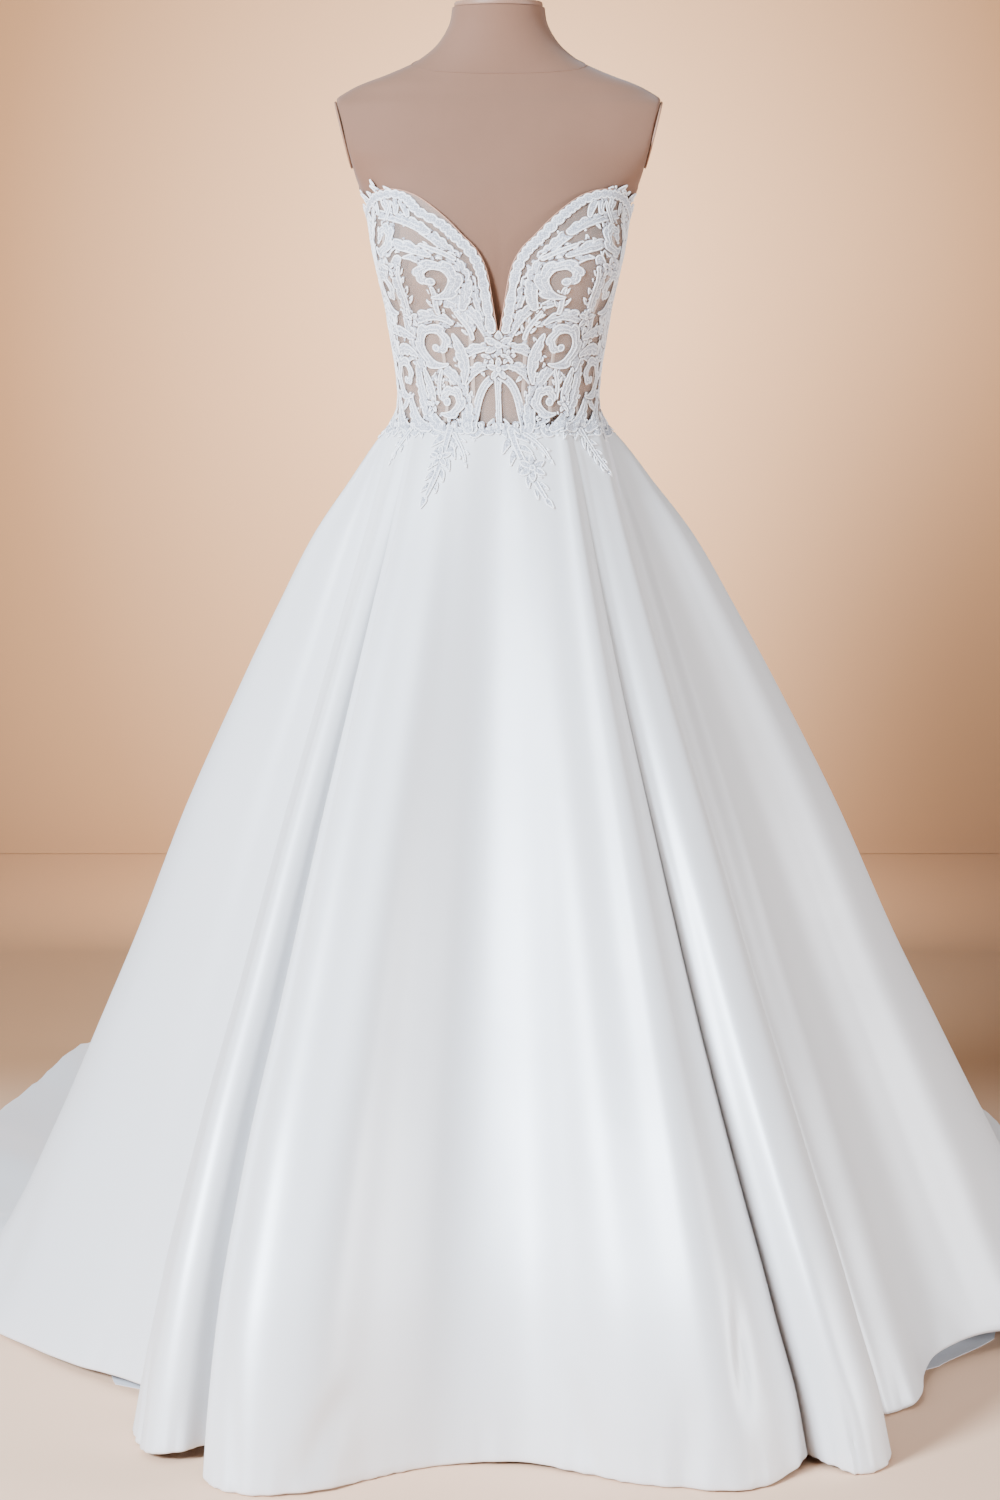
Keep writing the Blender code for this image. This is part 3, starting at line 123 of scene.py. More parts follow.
def placed(name, points, faces, material, keen=50, cut=None):
    """A smooth-shaded object whose keen edges stay sharp. cut gives each point's place on the flat cloth."""
    mesh = bpy.data.meshes.new(name)
    mesh.from_pydata(np.asarray(points, float).reshape(-1, 3).tolist(), [], faces)
    if cut is not None:
        flat = mesh.attributes.new("cut", "FLOAT_VECTOR", "POINT")
        flat.data.foreach_set("vector", np.asarray(cut, np.float32).reshape(-1))
    mesh.shade_smooth()
    mesh.set_sharp_from_angle(angle=math.radians(keen))
    made = bpy.data.objects.new(name, mesh)
    made.data.materials.append(material)
    bpy.context.scene.collection.objects.link(made)
    return made


def settled(piece, node=None):
    """Fixes a piece to the dress's body, and hides the solid that it takes over."""
    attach(piece, "dress")
    if node:
        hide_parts(node)
    return piece


def ring_faces(rings, count):
    """Faces between rings of points, from the lowest up, and one that closes each end."""
    faces = []
    for r in range(rings - 1):
        for c in range(count):
            n = (c + 1) % count
            faces.append((r * count + c, r * count + n, (r + 1) * count + n, (r + 1) * count + c))
    faces.append(tuple(reversed(range(count))))
    faces.append(tuple(range((rings - 1) * count, rings * count)))
    return faces


def turned(name, node, sides, profile):
    """A steel piece turned about the upright axis. profile rows are (radius, height), from the lowest up."""
    angles = np.arange(sides) * 2 * math.pi / sides
    radius, height = np.array(profile, float).T[:, :, None]
    points = np.stack([radius * np.sin(angles), -radius * np.cos(angles), height + 0 * angles], axis=-1)
    settled(placed(name, points, ring_faces(len(profile), sides), powder_coat, keen=60), node)


powder_coat, tree, shader, spot = blank_material("powder coat", (0.26, 0.24, 0.23), 0.48, Metallic=0.15)
mottled(tree, shader, spot, 18, (0.22, 0.20, 0.19), (0.29, 0.27, 0.26))
roughened(tree, shader, (noise(tree, spot, 1400, 2), 0.00012))

FORM_FOOT = float(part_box("form_torso")[0][2])
BASE_HIGH = float(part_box("stand_base")[1][2])
BASE_WIDE = float(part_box("stand_base")[1][0])
POLE_WIDE = float(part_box("stand_pole")[1][0])
FLANGE_WIDE = 0.045
EASED = 0.003  # the round on the base's edge
SEAM_GAP = 0.0003  # between pieces that meet

turned("steel_base", "stand_base", 120, [
    (BASE_WIDE - EASED, 0.0),
    (BASE_WIDE - EASED * 0.3, EASED * 0.3),
    (BASE_WIDE, EASED),
    (BASE_WIDE, BASE_HIGH * 0.45),
    (BASE_WIDE - EASED * 0.4, BASE_HIGH * 0.62),
    (BASE_WIDE * 0.93, BASE_HIGH * 0.80),
    (BASE_WIDE * 0.5, BASE_HIGH * 0.95),
    (POLE_WIDE * 2.2, BASE_HIGH),
    (POLE_WIDE * 1.2, BASE_HIGH),
])
turned("steel_pole", "stand_pole", 48, [
    (POLE_WIDE, BASE_HIGH + SEAM_GAP),
    (POLE_WIDE, FORM_FOOT * 0.45),
    (POLE_WIDE * 1.35, FORM_FOOT * 0.452),
    (POLE_WIDE * 1.40, FORM_FOOT * 0.458),
    (POLE_WIDE * 1.40, FORM_FOOT * 0.500),
    (POLE_WIDE * 1.35, FORM_FOOT * 0.506),
    (POLE_WIDE * 0.86, FORM_FOOT * 0.508),
    (POLE_WIDE * 0.86, FORM_FOOT - 0.0125),
])
turned("steel_flange", "stand_flange", 72, [
    (POLE_WIDE * 1.3, FORM_FOOT - 0.0120),
    (FLANGE_WIDE - 0.0050, FORM_FOOT - 0.0085),
    (FLANGE_WIDE - 0.0005, FORM_FOOT - 0.0070),
    (FLANGE_WIDE, FORM_FOOT - 0.0050),
    (FLANGE_WIDE, FORM_FOOT - 0.0010),
    (FLANGE_WIDE - 0.0007, FORM_FOOT - SEAM_GAP),
])


# --- padded form ------------------------------------------------------
# A foam torso cut off at the neck, the arms and the hips, under one tight sleeve of taupe jersey, with a
# fine seam where the neck joins the shoulders. Painted boards close the neck and the arms.


def named_rows(names, rows, **same):
    """A table's rows, each with its values under the columns' names, and with what is the same in all."""
    return [dict(zip(names.split(), row), **same) for row in rows]


def table_value(rows, key, column, at):
    """Smooth values from a table's column, with the slope at each row taken from its neighbours."""
    x = np.array([row[key] for row in rows], float)
    y = np.array([row[column] for row in rows], float)
    low, high = np.maximum(np.arange(len(x)) - 1, 0), np.minimum(np.arange(len(x)) + 1, len(x) - 1)
    slope = (y[high] - y[low]) / (x[high] - x[low])
    at = np.clip(at, x[0], x[-1])
    i = np.clip(np.searchsorted(x, at) - 1, 0, len(x) - 2)
    step = x[i + 1] - x[i]
    t = (at - x[i]) / step
    return (
        (2 * t**3 - 3 * t**2 + 1) * y[i]
        + (t**3 - 2 * t**2 + t) * step * slope[i]
        + (3 * t**2 - 2 * t**3) * y[i + 1]
        + (t**3 - t**2) * step * slope[i + 1]
    )


TORSO = named_rows("z half_width front back bust", [
    (0.868, 0.120, 0.080, 0.085, 0.0),
    (0.880, 0.146, 0.100, 0.108, 0.0),
    (0.930, 0.153, 0.106, 0.120, 0.0),
    (0.980, 0.144, 0.099, 0.108, 0.0),
    (1.030, 0.126, 0.090, 0.090, 0.0),
    (1.085, 0.1155, 0.084, 0.078, 0.0),
    (1.130, 0.1180, 0.087, 0.078, 0.002),
    (1.170, 0.1245, 0.092, 0.082, 0.006),
    (1.210, 0.1310, 0.098, 0.088, 0.014),
    (1.245, 0.1390, 0.103, 0.092, 0.021),
    (1.280, 0.1465, 0.104, 0.095, 0.018),
    (1.310, 0.1520, 0.102, 0.098, 0.009),
    (1.340, 0.1640, 0.096, 0.099, 0.003),
    (1.365, 0.1860, 0.087, 0.096, 0.0),
    (1.390, 0.2090, 0.080, 0.090, 0.0),
    (1.420, 0.2180, 0.070, 0.081, 0.0),
    (1.442, 0.2100, 0.063, 0.073, 0.0),
    (1.455, 0.1870, 0.058, 0.067, 0.0),
    (1.467, 0.1650, 0.055, 0.062, 0.0),
    (1.480, 0.1310, 0.052, 0.058, 0.0),
    (1.494, 0.1000, 0.051, 0.056, 0.0),
    (1.509, 0.0790, 0.050, 0.055, 0.0),
    (1.524, 0.0665, 0.050, 0.055, 0.0),
    (1.541, 0.0580, 0.051, 0.054, 0.0),
    (1.559, 0.0550, 0.053, 0.054, 0.0),
])
BUST_ANGLE, BUST_SPREAD = math.radians(40), math.radians(24)
ARM_CUT_X, ARM_CUT_Z, ARM_CUT_SLOPE = 0.1715, 1.366, 0.252  # the flat slanted cut passes this x at this z


def torso_at(angle, z, out=0.0):
    """Points of the torso's skin: angle 0 is centre front and grows towards +X."""
    angle, z, out = np.broadcast_arrays(np.asarray(angle, float), z, out)
    sine, cosine = np.sin(angle), np.cos(angle)
    half = table_value(TORSO, "z", "half_width", z)
    front, back = (table_value(TORSO, "z", side, z) for side in ("front", "back"))
    depth = np.where(cosine > 0, front, back)
    round_bust = np.exp(-(((np.abs(angle) - BUST_ANGLE) / BUST_SPREAD) ** 2))
    swell = table_value(TORSO, "z", "bust", z) * round_bust
    reach = 1 + (swell + out) / np.hypot(half * sine, depth * cosine)
    return np.stack([half * sine * reach, -depth * cosine * reach, z], axis=-1)


def between(values, steps):
    """The values with steps - 1 more spread evenly between each two."""
    return np.interp(np.arange((len(values) - 1) * steps + 1) / steps, np.arange(len(values)), values)


ARM_LOW, ARM_EDGE = 1.345, 0.003  # where the arm's cut begins, and how softly its edge turns
BELOW_ARM = 3  # how fast the cut leaves the skin below that
TORSO_SIDES = 200
heights = between([row["z"] for row in TORSO], 6)[:, None]
around = (np.arange(TORSO_SIDES) / TORSO_SIDES * 2 - 1) * math.pi
skin = torso_at(around, heights)
cut_x = ARM_CUT_X + ARM_CUT_SLOPE * (np.maximum(heights, ARM_LOW) - ARM_CUT_Z)
cut_x = cut_x + BELOW_ARM * np.maximum(0, ARM_LOW - heights)
wide = -ARM_EDGE * np.log(np.exp(-np.abs(skin[..., 0]) / ARM_EDGE) + np.exp(-cut_x / ARM_EDGE))
skin[..., 0] = np.sign(skin[..., 0]) * wide

jersey, tree, shader, spot = blank_material(
    "taupe jersey", (0.20, 0.100, 0.060), 0.82, Sheen_Weight=0.15, Sheen_Roughness=0.5
)
mottled(tree, shader, spot, 9, (0.172, 0.083, 0.047), (0.190, 0.093, 0.054), 4)
knit, padding = noise(tree, spot, 1100, 2, (1, 1, 0.35)), noise(tree, spot, 60, 3)
roughened(tree, shader, (knit, 0.00010), (padding, 0.0004))
torso = placed("padded_torso", skin, ring_faces(len(heights), len(around)), jersey)
settled(torso, "form_torso")


def unit(vectors):
    """The vectors at a length of one."""
    return vectors / np.maximum(np.linalg.norm(vectors, axis=-1, keepdims=True), 1e-12)


def corded(name, runs, material, sides=6):
    """One smooth mesh of cords. Each run is (points, directions away from what it lies on, half width, and
    height over width).
    """
    points, faces = [], []
    turn = (np.arange(sides) + 0.5) * 2 * math.pi / sides
    for path, up, radius, flat in runs:
        path, up = np.asarray(path, float), np.asarray(up, float)
        along = unit(np.gradient(path, axis=0))
        beside = unit(np.cross(along, up))
        upright = np.cross(beside, along)
        radius = np.broadcast_to(np.asarray(radius, float), (len(path),))[:, None, None]
        ring = beside[:, None] * np.cos(turn)[:, None] + upright[:, None] * np.sin(turn)[:, None] * flat
        start = sum(len(done) for done in points)
        points.append((path[:, None] + radius * ring).reshape(-1, 3))
        faces += [tuple(start + n for n in face) for face in ring_faces(len(path), sides)]
    return placed(name, np.concatenate(points), faces, material, keen=180)


NECK_SEAM_FRONT, NECK_SEAM_RISE, SEAM_THREAD = 1.478, 0.034, 0.0007
turn = np.linspace(-math.pi, math.pi, 181)
seam_height = NECK_SEAM_FRONT + NECK_SEAM_RISE * (1 - np.cos(turn)) / 2
seam_path = torso_at(turn, seam_height, 0.0001)
neck_thread = (seam_path, torso_at(turn, seam_height, 0.01) - seam_path, SEAM_THREAD, 0.6)
settled(corded("neck_seam", [neck_thread], jersey))

board, tree, shader, spot = blank_material("painted board", (0.27, 0.145, 0.092), 0.55)
mottled(tree, shader, spot, 14, (0.26, 0.139, 0.088), (0.28, 0.151, 0.096))
roughened(tree, shader, (noise(tree, spot, 420, 3), 0.00012))

# The rounded edge of a board, from its inner face out: how far it is drawn in, and how high it stands, in
# metres and as a share of the board's thickness.
BOARD_EDGE = named_rows("drawn_in high share", [
    (0.0015, 0, 0), (0.0004, 0.0004, 0), (0, 0.001, 0),
    (0, 0, 0.65), (0.0004, 0, 0.86), (0.0012, 0, 0.97), (0.0026, 0, 1),
])
BOARD_SIDES = 96


def eased_board(name, node, middle, up, across, half_up, half_across, thick):
    """An oval board with rounded edges. up and across are directions in its face."""
    face = np.cross(up, across)
    turns = np.arange(BOARD_SIDES) * 2 * math.pi / BOARD_SIDES
    rings = []
    for row in BOARD_EDGE:
        rings.append(
            middle
            + face * (row["high"] + row["share"] * thick)
            + up * (half_up - row["drawn_in"]) * np.cos(turns)[:, None]
            + across * (half_across - row["drawn_in"]) * np.sin(turns)[:, None]
        )
    made = placed(name, np.array(rings), ring_faces(len(rings), BOARD_SIDES), board, keen=60)
    settled(made, node)


NECK_HALF_DEEP, NECK_HALF_WIDE, NECK_THICK = 0.0515, 0.0525, 0.0066
ARM_HALF_HIGH, ARM_HALF_DEEP, ARM_THICK = 0.041, 0.036, 0.0028
ARM_Y, ARM_Z = -0.004, 1.408  # the middle of each arm's board
neck_middle = np.array([0, 0, TORSO[-1]["z"] + SEAM_GAP])
eased_board(
    "neck_board", "form_neck_cap", neck_middle, np.array([0, 1.0, 0]), np.array([-1.0, 0, 0]),
    NECK_HALF_DEEP, NECK_HALF_WIDE, NECK_THICK,
)
SIDES = ((1, "left"), (-1, "right"))
for side, word in SIDES:
    up = np.array([side * ARM_CUT_SLOPE, 0, 1]) / math.hypot(ARM_CUT_SLOPE, 1)
    middle = np.array([side * (ARM_CUT_X + ARM_CUT_SLOPE * (ARM_Z - ARM_CUT_Z) + SEAM_GAP), ARM_Y, ARM_Z])
    eased_board(
        f"arm_board_{word}", f"form_arm_plate_{word}", middle, up, np.array([0, -side, 0.0]),
        ARM_HALF_HIGH, ARM_HALF_DEEP, ARM_THICK,
    )


# --- lining -----------------------------------------------------------
# A plain floor-length underskirt of five panels of matt taffeta, sewn into the waist seam under the satin.
# Its hem is pressed out along the floor and shows where the satin lifts at each side.

WAIST_Z = 1.0634  # the waist seam
WAIST_HALF, WAIST_FRONT, WAIST_BACK = 0.1262, 0.0975, 0.0925

# How far out the skirt has come, as a share of the whole, when this share of the drop is done.
PROFILE = named_rows("drop front straight side", [
    (0.000, 0.000, 0.000, 0.000), (0.016, 0.022, 0.012, 0.034), (0.061, 0.070, 0.048, 0.097),
    (0.123, 0.136, 0.098, 0.182), (0.200, 0.230, 0.165, 0.262), (0.290, 0.338, 0.250, 0.350),
    (0.430, 0.505, 0.392, 0.478), (0.570, 0.662, 0.535, 0.590), (0.680, 0.790, 0.655, 0.685),
    (0.755, 0.862, 0.742, 0.750), (0.822, 0.920, 0.822, 0.812), (0.875, 0.953, 0.882, 0.862),
    (0.940, 0.982, 0.958, 0.934), (1.000, 1.000, 1.000, 1.000),
])
DROP_LENGTH = 1.12  # waist to floor along the cloth
FLOOR_BEND, BEND_RUN, LEAST_BEND = 0.05, 0.15, 2e-4  # the train's bend, full where it runs this far
HEM_FROM = 0.45  # the share of the way down where a fold starts to rise to its hem's height
FLOOR_CLEAR = 0.0006
SATIN_WALL, LINING_WALL = 0.0007, 0.0005
STANDING = 0.0023  # how high the satin's outer face lies above the floor


def fold_place(fold, share, lift=0.0):
    """Where folds are, a share of the way from the waist to the hem."""
    angle = np.radians(fold["waist"])
    sine, cosine = np.sin(angle), np.cos(angle)
    front_or_back = np.where(cosine > 0, WAIST_FRONT, WAIST_BACK)
    start = np.stack([(WAIST_HALF + lift) * sine, -(front_or_back + lift) * cosine], axis=-1)
    end = np.stack([fold["hem_x"], fold["hem_y"]], axis=-1)
    run = fold["run"]
    lands = end - (end - start) / np.linalg.norm(end - start, axis=-1, keepdims=True) * run[..., None]
    length = DROP_LENGTH + run
    drop = share * length / DROP_LENGTH
    columns = ("front", "straight", "side")
    front, straight, side = (table_value(PROFILE, "drop", column, drop) for column in columns)
    sideways = (1 - fold["lean"]) * front + fold["lean"] * straight
    reach_x = (1 - fold["side"]) * sideways + fold["side"] * side
    reach_y = (1 - fold["side"]) * front + fold["side"] * side
    flat = start + (lands - start) * np.stack([reach_x, reach_y], axis=-1)
    past = (share * length - DROP_LENGTH) / np.maximum(run, 1e-9)
    flat = np.where((drop > 1)[..., None], lands + (end - lands) * past[..., None], flat)
    bend = np.maximum(FLOOR_BEND * np.minimum(1, run / BEND_RUN), LEAST_BEND)

    def eased(rise):
        return bend * np.logaddexp(0, rise / bend)

    height = eased(WAIST_Z * (1 - drop)) - (eased(WAIST_Z + 0 * bend) - WAIST_Z)
    height = height - eased(WAIST_Z * (1 - length / DROP_LENGTH)) * share
    soft = np.clip((share - HEM_FROM) / (1 - HEM_FROM), 0, 1) ** 1.5
    z = np.maximum(height, 0) * (1 - STANDING / WAIST_Z) + STANDING + fold["hem_z"] * soft
    return np.concatenate([flat, z[..., None]], axis=-1)


def on_folds(folds, place, share, lift=0.0):
    """Points of a sheet with these folds. place counts along them, with fractions between two of them."""
    columns = {key: np.array([fold[key] for fold in folds], float) for key in folds[0]}
    place, share = np.broadcast_arrays(np.asarray(place, float), share)
    last = len(folds) - 1
    i = np.clip(np.floor(place).astype(int), 0, last - 1)
    t = (place - i)[..., None]

    def fold_at(n):
        n = np.clip(n, 0, last)
        return fold_place({key: values[n] for key, values in columns.items()}, share, lift)

    a, b = fold_at(i), fold_at(i + 1)
    before = np.where((i == 0)[..., None], 2 * a - b, fold_at(i - 1))
    after = np.where((i + 1 == last)[..., None], 2 * b - a, fold_at(i + 2))
    return 0.5 * (
        2 * a
        + (b - before) * t
        + (2 * before - 5 * a + 4 * b - after) * t**2
        + (3 * a - before - 3 * b + after) * t**3
    )


def grid_normals(grid):
    """Outward directions, for rows that go down and columns that go round towards +X at the front."""
    return unit(np.cross(np.gradient(grid, axis=0), np.gradient(grid, axis=1)))


def thin_cloth(name, grid, wall, material, normals=None):
    """A closed sheet of cloth: its outer face is the grid, its inner face lies one wall behind."""
    rows, columns = grid.shape[:2]
    normals = grid_normals(grid) if normals is None else normals
    down = np.linalg.norm(np.diff(grid, axis=0), axis=2).mean(axis=1)
    along = np.linalg.norm(np.diff(grid, axis=1), axis=2).mean(axis=0)
    flat = np.zeros(grid.shape)
    flat[..., 0] = np.concatenate([[0], np.cumsum(along)])
    flat[..., 1] = np.concatenate([[0], np.cumsum(down)])[:, None]
    index = np.arange(rows * columns).reshape(rows, columns)
    a, b, c, d = index[:-1, :-1], index[1:, :-1], index[1:, 1:], index[:-1, 1:]
    outer = np.stack([a, b, c, d], axis=-1).reshape(-1, 4)
    far = rows * columns
    inner = outer[:, ::-1] + far
    edge = np.concatenate([index[0, ::-1], index[1:, 0], index[-1, 1:], index[-2:0:-1, -1]])
    onward = np.roll(edge, -1)
    rim = np.stack([onward, edge, edge + far, onward + far], axis=-1)
    faces = np.concatenate([outer, inner, rim]).tolist()
    points = np.concatenate([grid.reshape(-1, 3), (grid - normals * wall).reshape(-1, 3)])
    return placed(name, points, faces, material, cut=np.concatenate([flat.reshape(-1, 3)] * 2))


def sewn(piece, node):
    """Settles a panel of cloth on the form, and hides the solid that it takes over."""
    settled(piece, node)


# A row for each fold. waist: degrees from centre front. hem_x, hem_y, hem_z: where the fold ends. side: its
# share of the side profile. lean: its share of the straight profile sideways. run: how far it lies along the
# floor. toe: how far the lining's hem is pressed out over the floor.
LINING_FOLDS = named_rows("waist hem_x hem_y side lean toe", [
    (-180, 0.000, 0.740, 1.0, 0, 0.004),
    (-150, -0.330, 0.640, 1.0, 0, 0.004),
    (-125, -0.440, 0.470, 1.0, 0, 0.004),
    (-105, -0.550, 0.220, 1.0, 0, 0.004),
    (-93, -0.540, -0.010, 0.95, 0, 0.004),
    (-87, -0.425, -0.165, 0.75, 0.1, 0.030),
    (-83, -0.375, -0.222, 0.50, 0.2, 0.062),
    (-79, -0.325, -0.295, 0.30, 0.3, 0.020),
    (-70, -0.318, -0.370, 0.20, 0.2, 0.004),
    (-54, -0.262, -0.445, 0.05, 0.1, 0.004),
    (-38, -0.190, -0.485, 0, 0.1, 0.004),
    (-20, -0.100, -0.505, 0, 0.2, 0.004),
    (0, 0.000, -0.500, 0, 0.4, 0.004),
    (16, 0.090, -0.500, 0, 0.6, 0.004),
    (30, 0.185, -0.480, 0, 0.85, 0.004),
    (43, 0.258, -0.420, 0, 1.0, 0.004),
    (58, 0.325, -0.430, 0, 0.9, 0.004),
    (70, 0.345, -0.380, 0.15, 0.8, 0.004),
    (78, 0.365, -0.320, 0.30, 0.6, 0.004),
    (83, 0.410, -0.250, 0.50, 0.4, 0.010),
    (87, 0.445, -0.165, 0.70, 0.2, 0.060),
    (91, 0.520, -0.070, 0.90, 0.1, 0.060),
    (97, 0.600, 0.080, 1.0, 0, 0.004),
    (105, 0.580, 0.220, 1.0, 0, 0.004),
    (125, 0.450, 0.470, 1.0, 0, 0.004),
    (150, 0.330, 0.640, 1.0, 0, 0.004),
    (180, 0.000, 0.740, 1.0, 0, 0.004),
], hem_z=0.002, run=0)
LINING_LIFT = -0.0024
LINING_PANELS = named_rows("name first last width length area", [
    ("lining_back_right", -180, -125, 0.62, 1.28, 0.44),
    ("lining_side_right", -125, -79, 0.86, 1.18, 0.59),
    ("lining_front", -79, 78, 1.04, 1.12, 0.72),
    ("lining_side_left", 78, 125, 0.90, 1.18, 0.62),
    ("lining_back_left", 125, 180, 0.62, 1.28, 0.44),
])

taffeta, tree, shader, spot = blank_material(
    "lining taffeta", (0.74, 0.73, 0.76), 0.5, on_cloth=True, Sheen_Weight=0.2
)
mottled(tree, shader, spot, 30, (0.71, 0.70, 0.73), (0.77, 0.76, 0.79), 4)
weave, rumples = noise(tree, spot, 1, 2, (2600, 260, 1)), noise(tree, spot, 26, 3)
roughened(tree, shader, (weave, 0.00006), (rumples, 0.0010))

LINING_RIPPLE = 0.0022
waists = [fold["waist"] for fold in LINING_FOLDS]
toes = np.array([fold["toe"] for fold in LINING_FOLDS])
lining_down = np.concatenate([between([0, 0.03, 0.1, 0.24, 0.45, 0.7, 0.9, 0.97], 7), [0.98, 0.99, 0.996]])
for panel in LINING_PANELS:
    first, last = waists.index(panel["first"]), waists.index(panel["last"])
    place = between(range(first, last + 1), 8)
    grid = on_folds(LINING_FOLDS, place, lining_down[:, None], LINING_LIFT)
    hem = grid[-1].copy()
    outward = unit(hem * [1, 1, 0])
    toe = np.interp(place, np.arange(len(toes)), toes)[:, None]
    pressed = []
    for t in (0.25, 0.5, 0.75, 1):
        low = hem + outward * toe * t
        low[:, 2] = (hem[:, 2] - LINING_WALL - FLOOR_CLEAR) * (1 - t) ** 2 + LINING_WALL + FLOOR_CLEAR
        pressed.append(low)
    grid = np.concatenate([grid, pressed])
    lower = np.linspace(0, 1, len(grid))[:, None] ** 2
    ripple = LINING_RIPPLE * np.sin(place * 2.3 + 3 * lining_down[-1]) * lower
    grid = grid - grid_normals(grid) * np.abs(ripple)[..., None] * [1, 1, 0]
    made = thin_cloth(panel["name"] + "_taffeta", grid, LINING_WALL, taffeta)
    sewn(made, panel["name"])


# --- satin skirt ------------------------------------------------------
# Heavy bridal satin in five gored panels. The front panel is pressed back along both edges and laid over two
# rolled pleats, the back runs out into a train, and the hem is turned up inside over a soft roll.

FRONT_PANEL = named_rows("waist hem_x hem_y hem_z lean", [
    (-51.8, -0.304, -0.568, 0.006, 0.0),
    (-50.0, -0.300, -0.592, 0.003, 0.0),
    (-42.0, -0.262, -0.622, 0.001, 0.0),
    (-31.0, -0.190, -0.612, 0.003, 0.1),
    (-19.0, -0.112, -0.566, 0.001, 0.2),
    (-8.0, -0.046, -0.536, 0.003, 0.3),
    (4.0, 0.024, -0.532, 0.005, 0.4),
    (14.0, 0.082, -0.558, 0.003, 0.55),
    (24.0, 0.150, -0.590, 0.001, 0.7),
    (33.0, 0.226, -0.610, 0.002, 0.85),
    (38.0, 0.276, -0.592, 0.002, 0.95),
    (41.3, 0.314, -0.548, 0.008, 1.0),
    (42.8, 0.322, -0.526, 0.010, 1.0),
], side=0, run=0)
# The rest of the skirt, from under the front panel's edge at -X, round the back, to under its edge at +X.
REST_OF_SKIRT = named_rows("waist hem_x hem_y hem_z side lean run", [
    (-41.0, -0.258, -0.512, 0.010, 0.00, 0.0, 0),
    (-46.5, -0.288, -0.498, 0.014, 0.00, 0.0, 0),
    (-53.0, -0.330, -0.520, 0.012, 0.05, 0.1, 0),
    (-61.5, -0.366, -0.504, 0.006, 0.10, 0.2, 0),
    (-70.0, -0.386, -0.446, 0.002, 0.20, 0.3, 0),
    (-76.5, -0.388, -0.398, 0.004, 0.25, 0.3, 0),
    (-79.5, -0.366, -0.360, 0.008, 0.30, 0.3, 0),
    (-81.5, -0.370, -0.326, 0.012, 0.40, 0.3, 0),
    (-84.0, -0.424, -0.260, 0.012, 0.55, 0.2, 0),
    (-87.0, -0.480, -0.200, 0.008, 0.75, 0.1, 0),
    (-90.5, -0.588, -0.058, 0.003, 0.90, 0.0, 0.00),
    (-95.0, -0.682, 0.080, 0.003, 1.00, 0.0, 0.04),
    (-101.0, -0.728, 0.240, 0.003, 1.00, 0.0, 0.10),
    (-107.0, -0.748, 0.430, 0.012, 1.00, 0.0, 0.18),
    (-114.0, -0.752, 0.640, 0.003, 1.00, 0.0, 0.28),
    (-121.0, -0.752, 0.850, 0.018, 1.00, 0.0, 0.40),
    (-129.0, -0.744, 1.060, 0.003, 1.00, 0.0, 0.52),
    (-137.0, -0.710, 1.245, 0.010, 1.00, 0.0, 0.62),
    (-145.0, -0.655, 1.440, 0.030, 1.00, 0.0, 0.72),
    (-153.0, -0.545, 1.585, 0.003, 1.00, 0.0, 0.80),
    (-161.0, -0.405, 1.690, 0.028, 1.00, 0.0, 0.87),
    (-169.0, -0.240, 1.755, 0.003, 1.00, 0.0, 0.92),
    (-175.0, -0.115, 1.780, 0.018, 1.00, 0.0, 0.94),
    (-180.0, 0.000, 1.787, 0.008, 1.00, 0.0, 0.95),
    (-185.0, 0.115, 1.780, 0.016, 1.00, 0.0, 0.94),
    (-191.0, 0.240, 1.755, 0.003, 1.00, 0.0, 0.92),
    (-199.0, 0.400, 1.690, 0.028, 1.00, 0.0, 0.87),
    (-207.0, 0.530, 1.580, 0.003, 1.00, 0.0, 0.80),
    (-215.0, 0.615, 1.430, 0.026, 1.00, 0.0, 0.72),
    (-223.0, 0.672, 1.240, 0.003, 1.00, 0.0, 0.62),
    (-231.0, 0.712, 1.050, 0.018, 1.00, 0.0, 0.52),
    (-239.0, 0.745, 0.850, 0.003, 1.00, 0.0, 0.40),
    (-246.0, 0.776, 0.640, 0.018, 1.00, 0.0, 0.28),
    (-253.0, 0.805, 0.430, 0.003, 1.00, 0.0, 0.18),
    (-259.0, 0.800, 0.230, 0.004, 1.00, 0.0, 0.10),
    (-265.0, 0.748, 0.060, 0.006, 1.00, 0.0, 0.04),
    (-269.0, 0.635, -0.075, 0.016, 0.90, 0.0, 0.00),
    (-272.0, 0.550, -0.135, 0.022, 0.80, 0.1, 0),
    (-274.5, 0.490, -0.205, 0.016, 0.65, 0.2, 0),
    (-277.5, 0.466, -0.326, 0.008, 0.45, 0.4, 0),
    (-281.5, 0.428, -0.372, 0.006, 0.32, 0.6, 0),
    (-284.5, 0.394, -0.388, 0.010, 0.25, 0.7, 0),
    (-288.0, 0.402, -0.448, 0.006, 0.15, 0.8, 0),
    (-295.0, 0.404, -0.518, 0.002, 0.05, 0.9, 0),
    (-304.0, 0.374, -0.562, 0.001, 0.00, 0.95, 0),
    (-313.5, 0.338, -0.536, 0.006, 0.00, 1.0, 0),
    (-320.5, 0.308, -0.498, 0.010, 0.00, 1.0, 0),
    (-325.5, 0.280, -0.480, 0.012, 0.00, 1.0, 0),
])
FRONT_LIFT = 0.0022
SKIRT_DOWN = (0, 0.014, 0.045, 0.09, 0.16, 0.25, 0.35, 0.46, 0.57, 0.67, 0.76, 0.84, 0.905, 0.96, 1)
SATIN_PANELS = named_rows("name first last width length area", [
    ("skirt_front", -51.8, 42.8, 0.74, 1.18, 0.56),
    ("skirt_side_left", -325.5, -259, 1.15, 1.20, 0.73),
    ("skirt_back_left", -259, -180, 2.10, 2.12, 1.58),
    ("skirt_back_right", -180, -101, 2.10, 2.12, 1.57),
    ("skirt_side_right", -101, -41, 1.05, 1.20, 0.66),
])
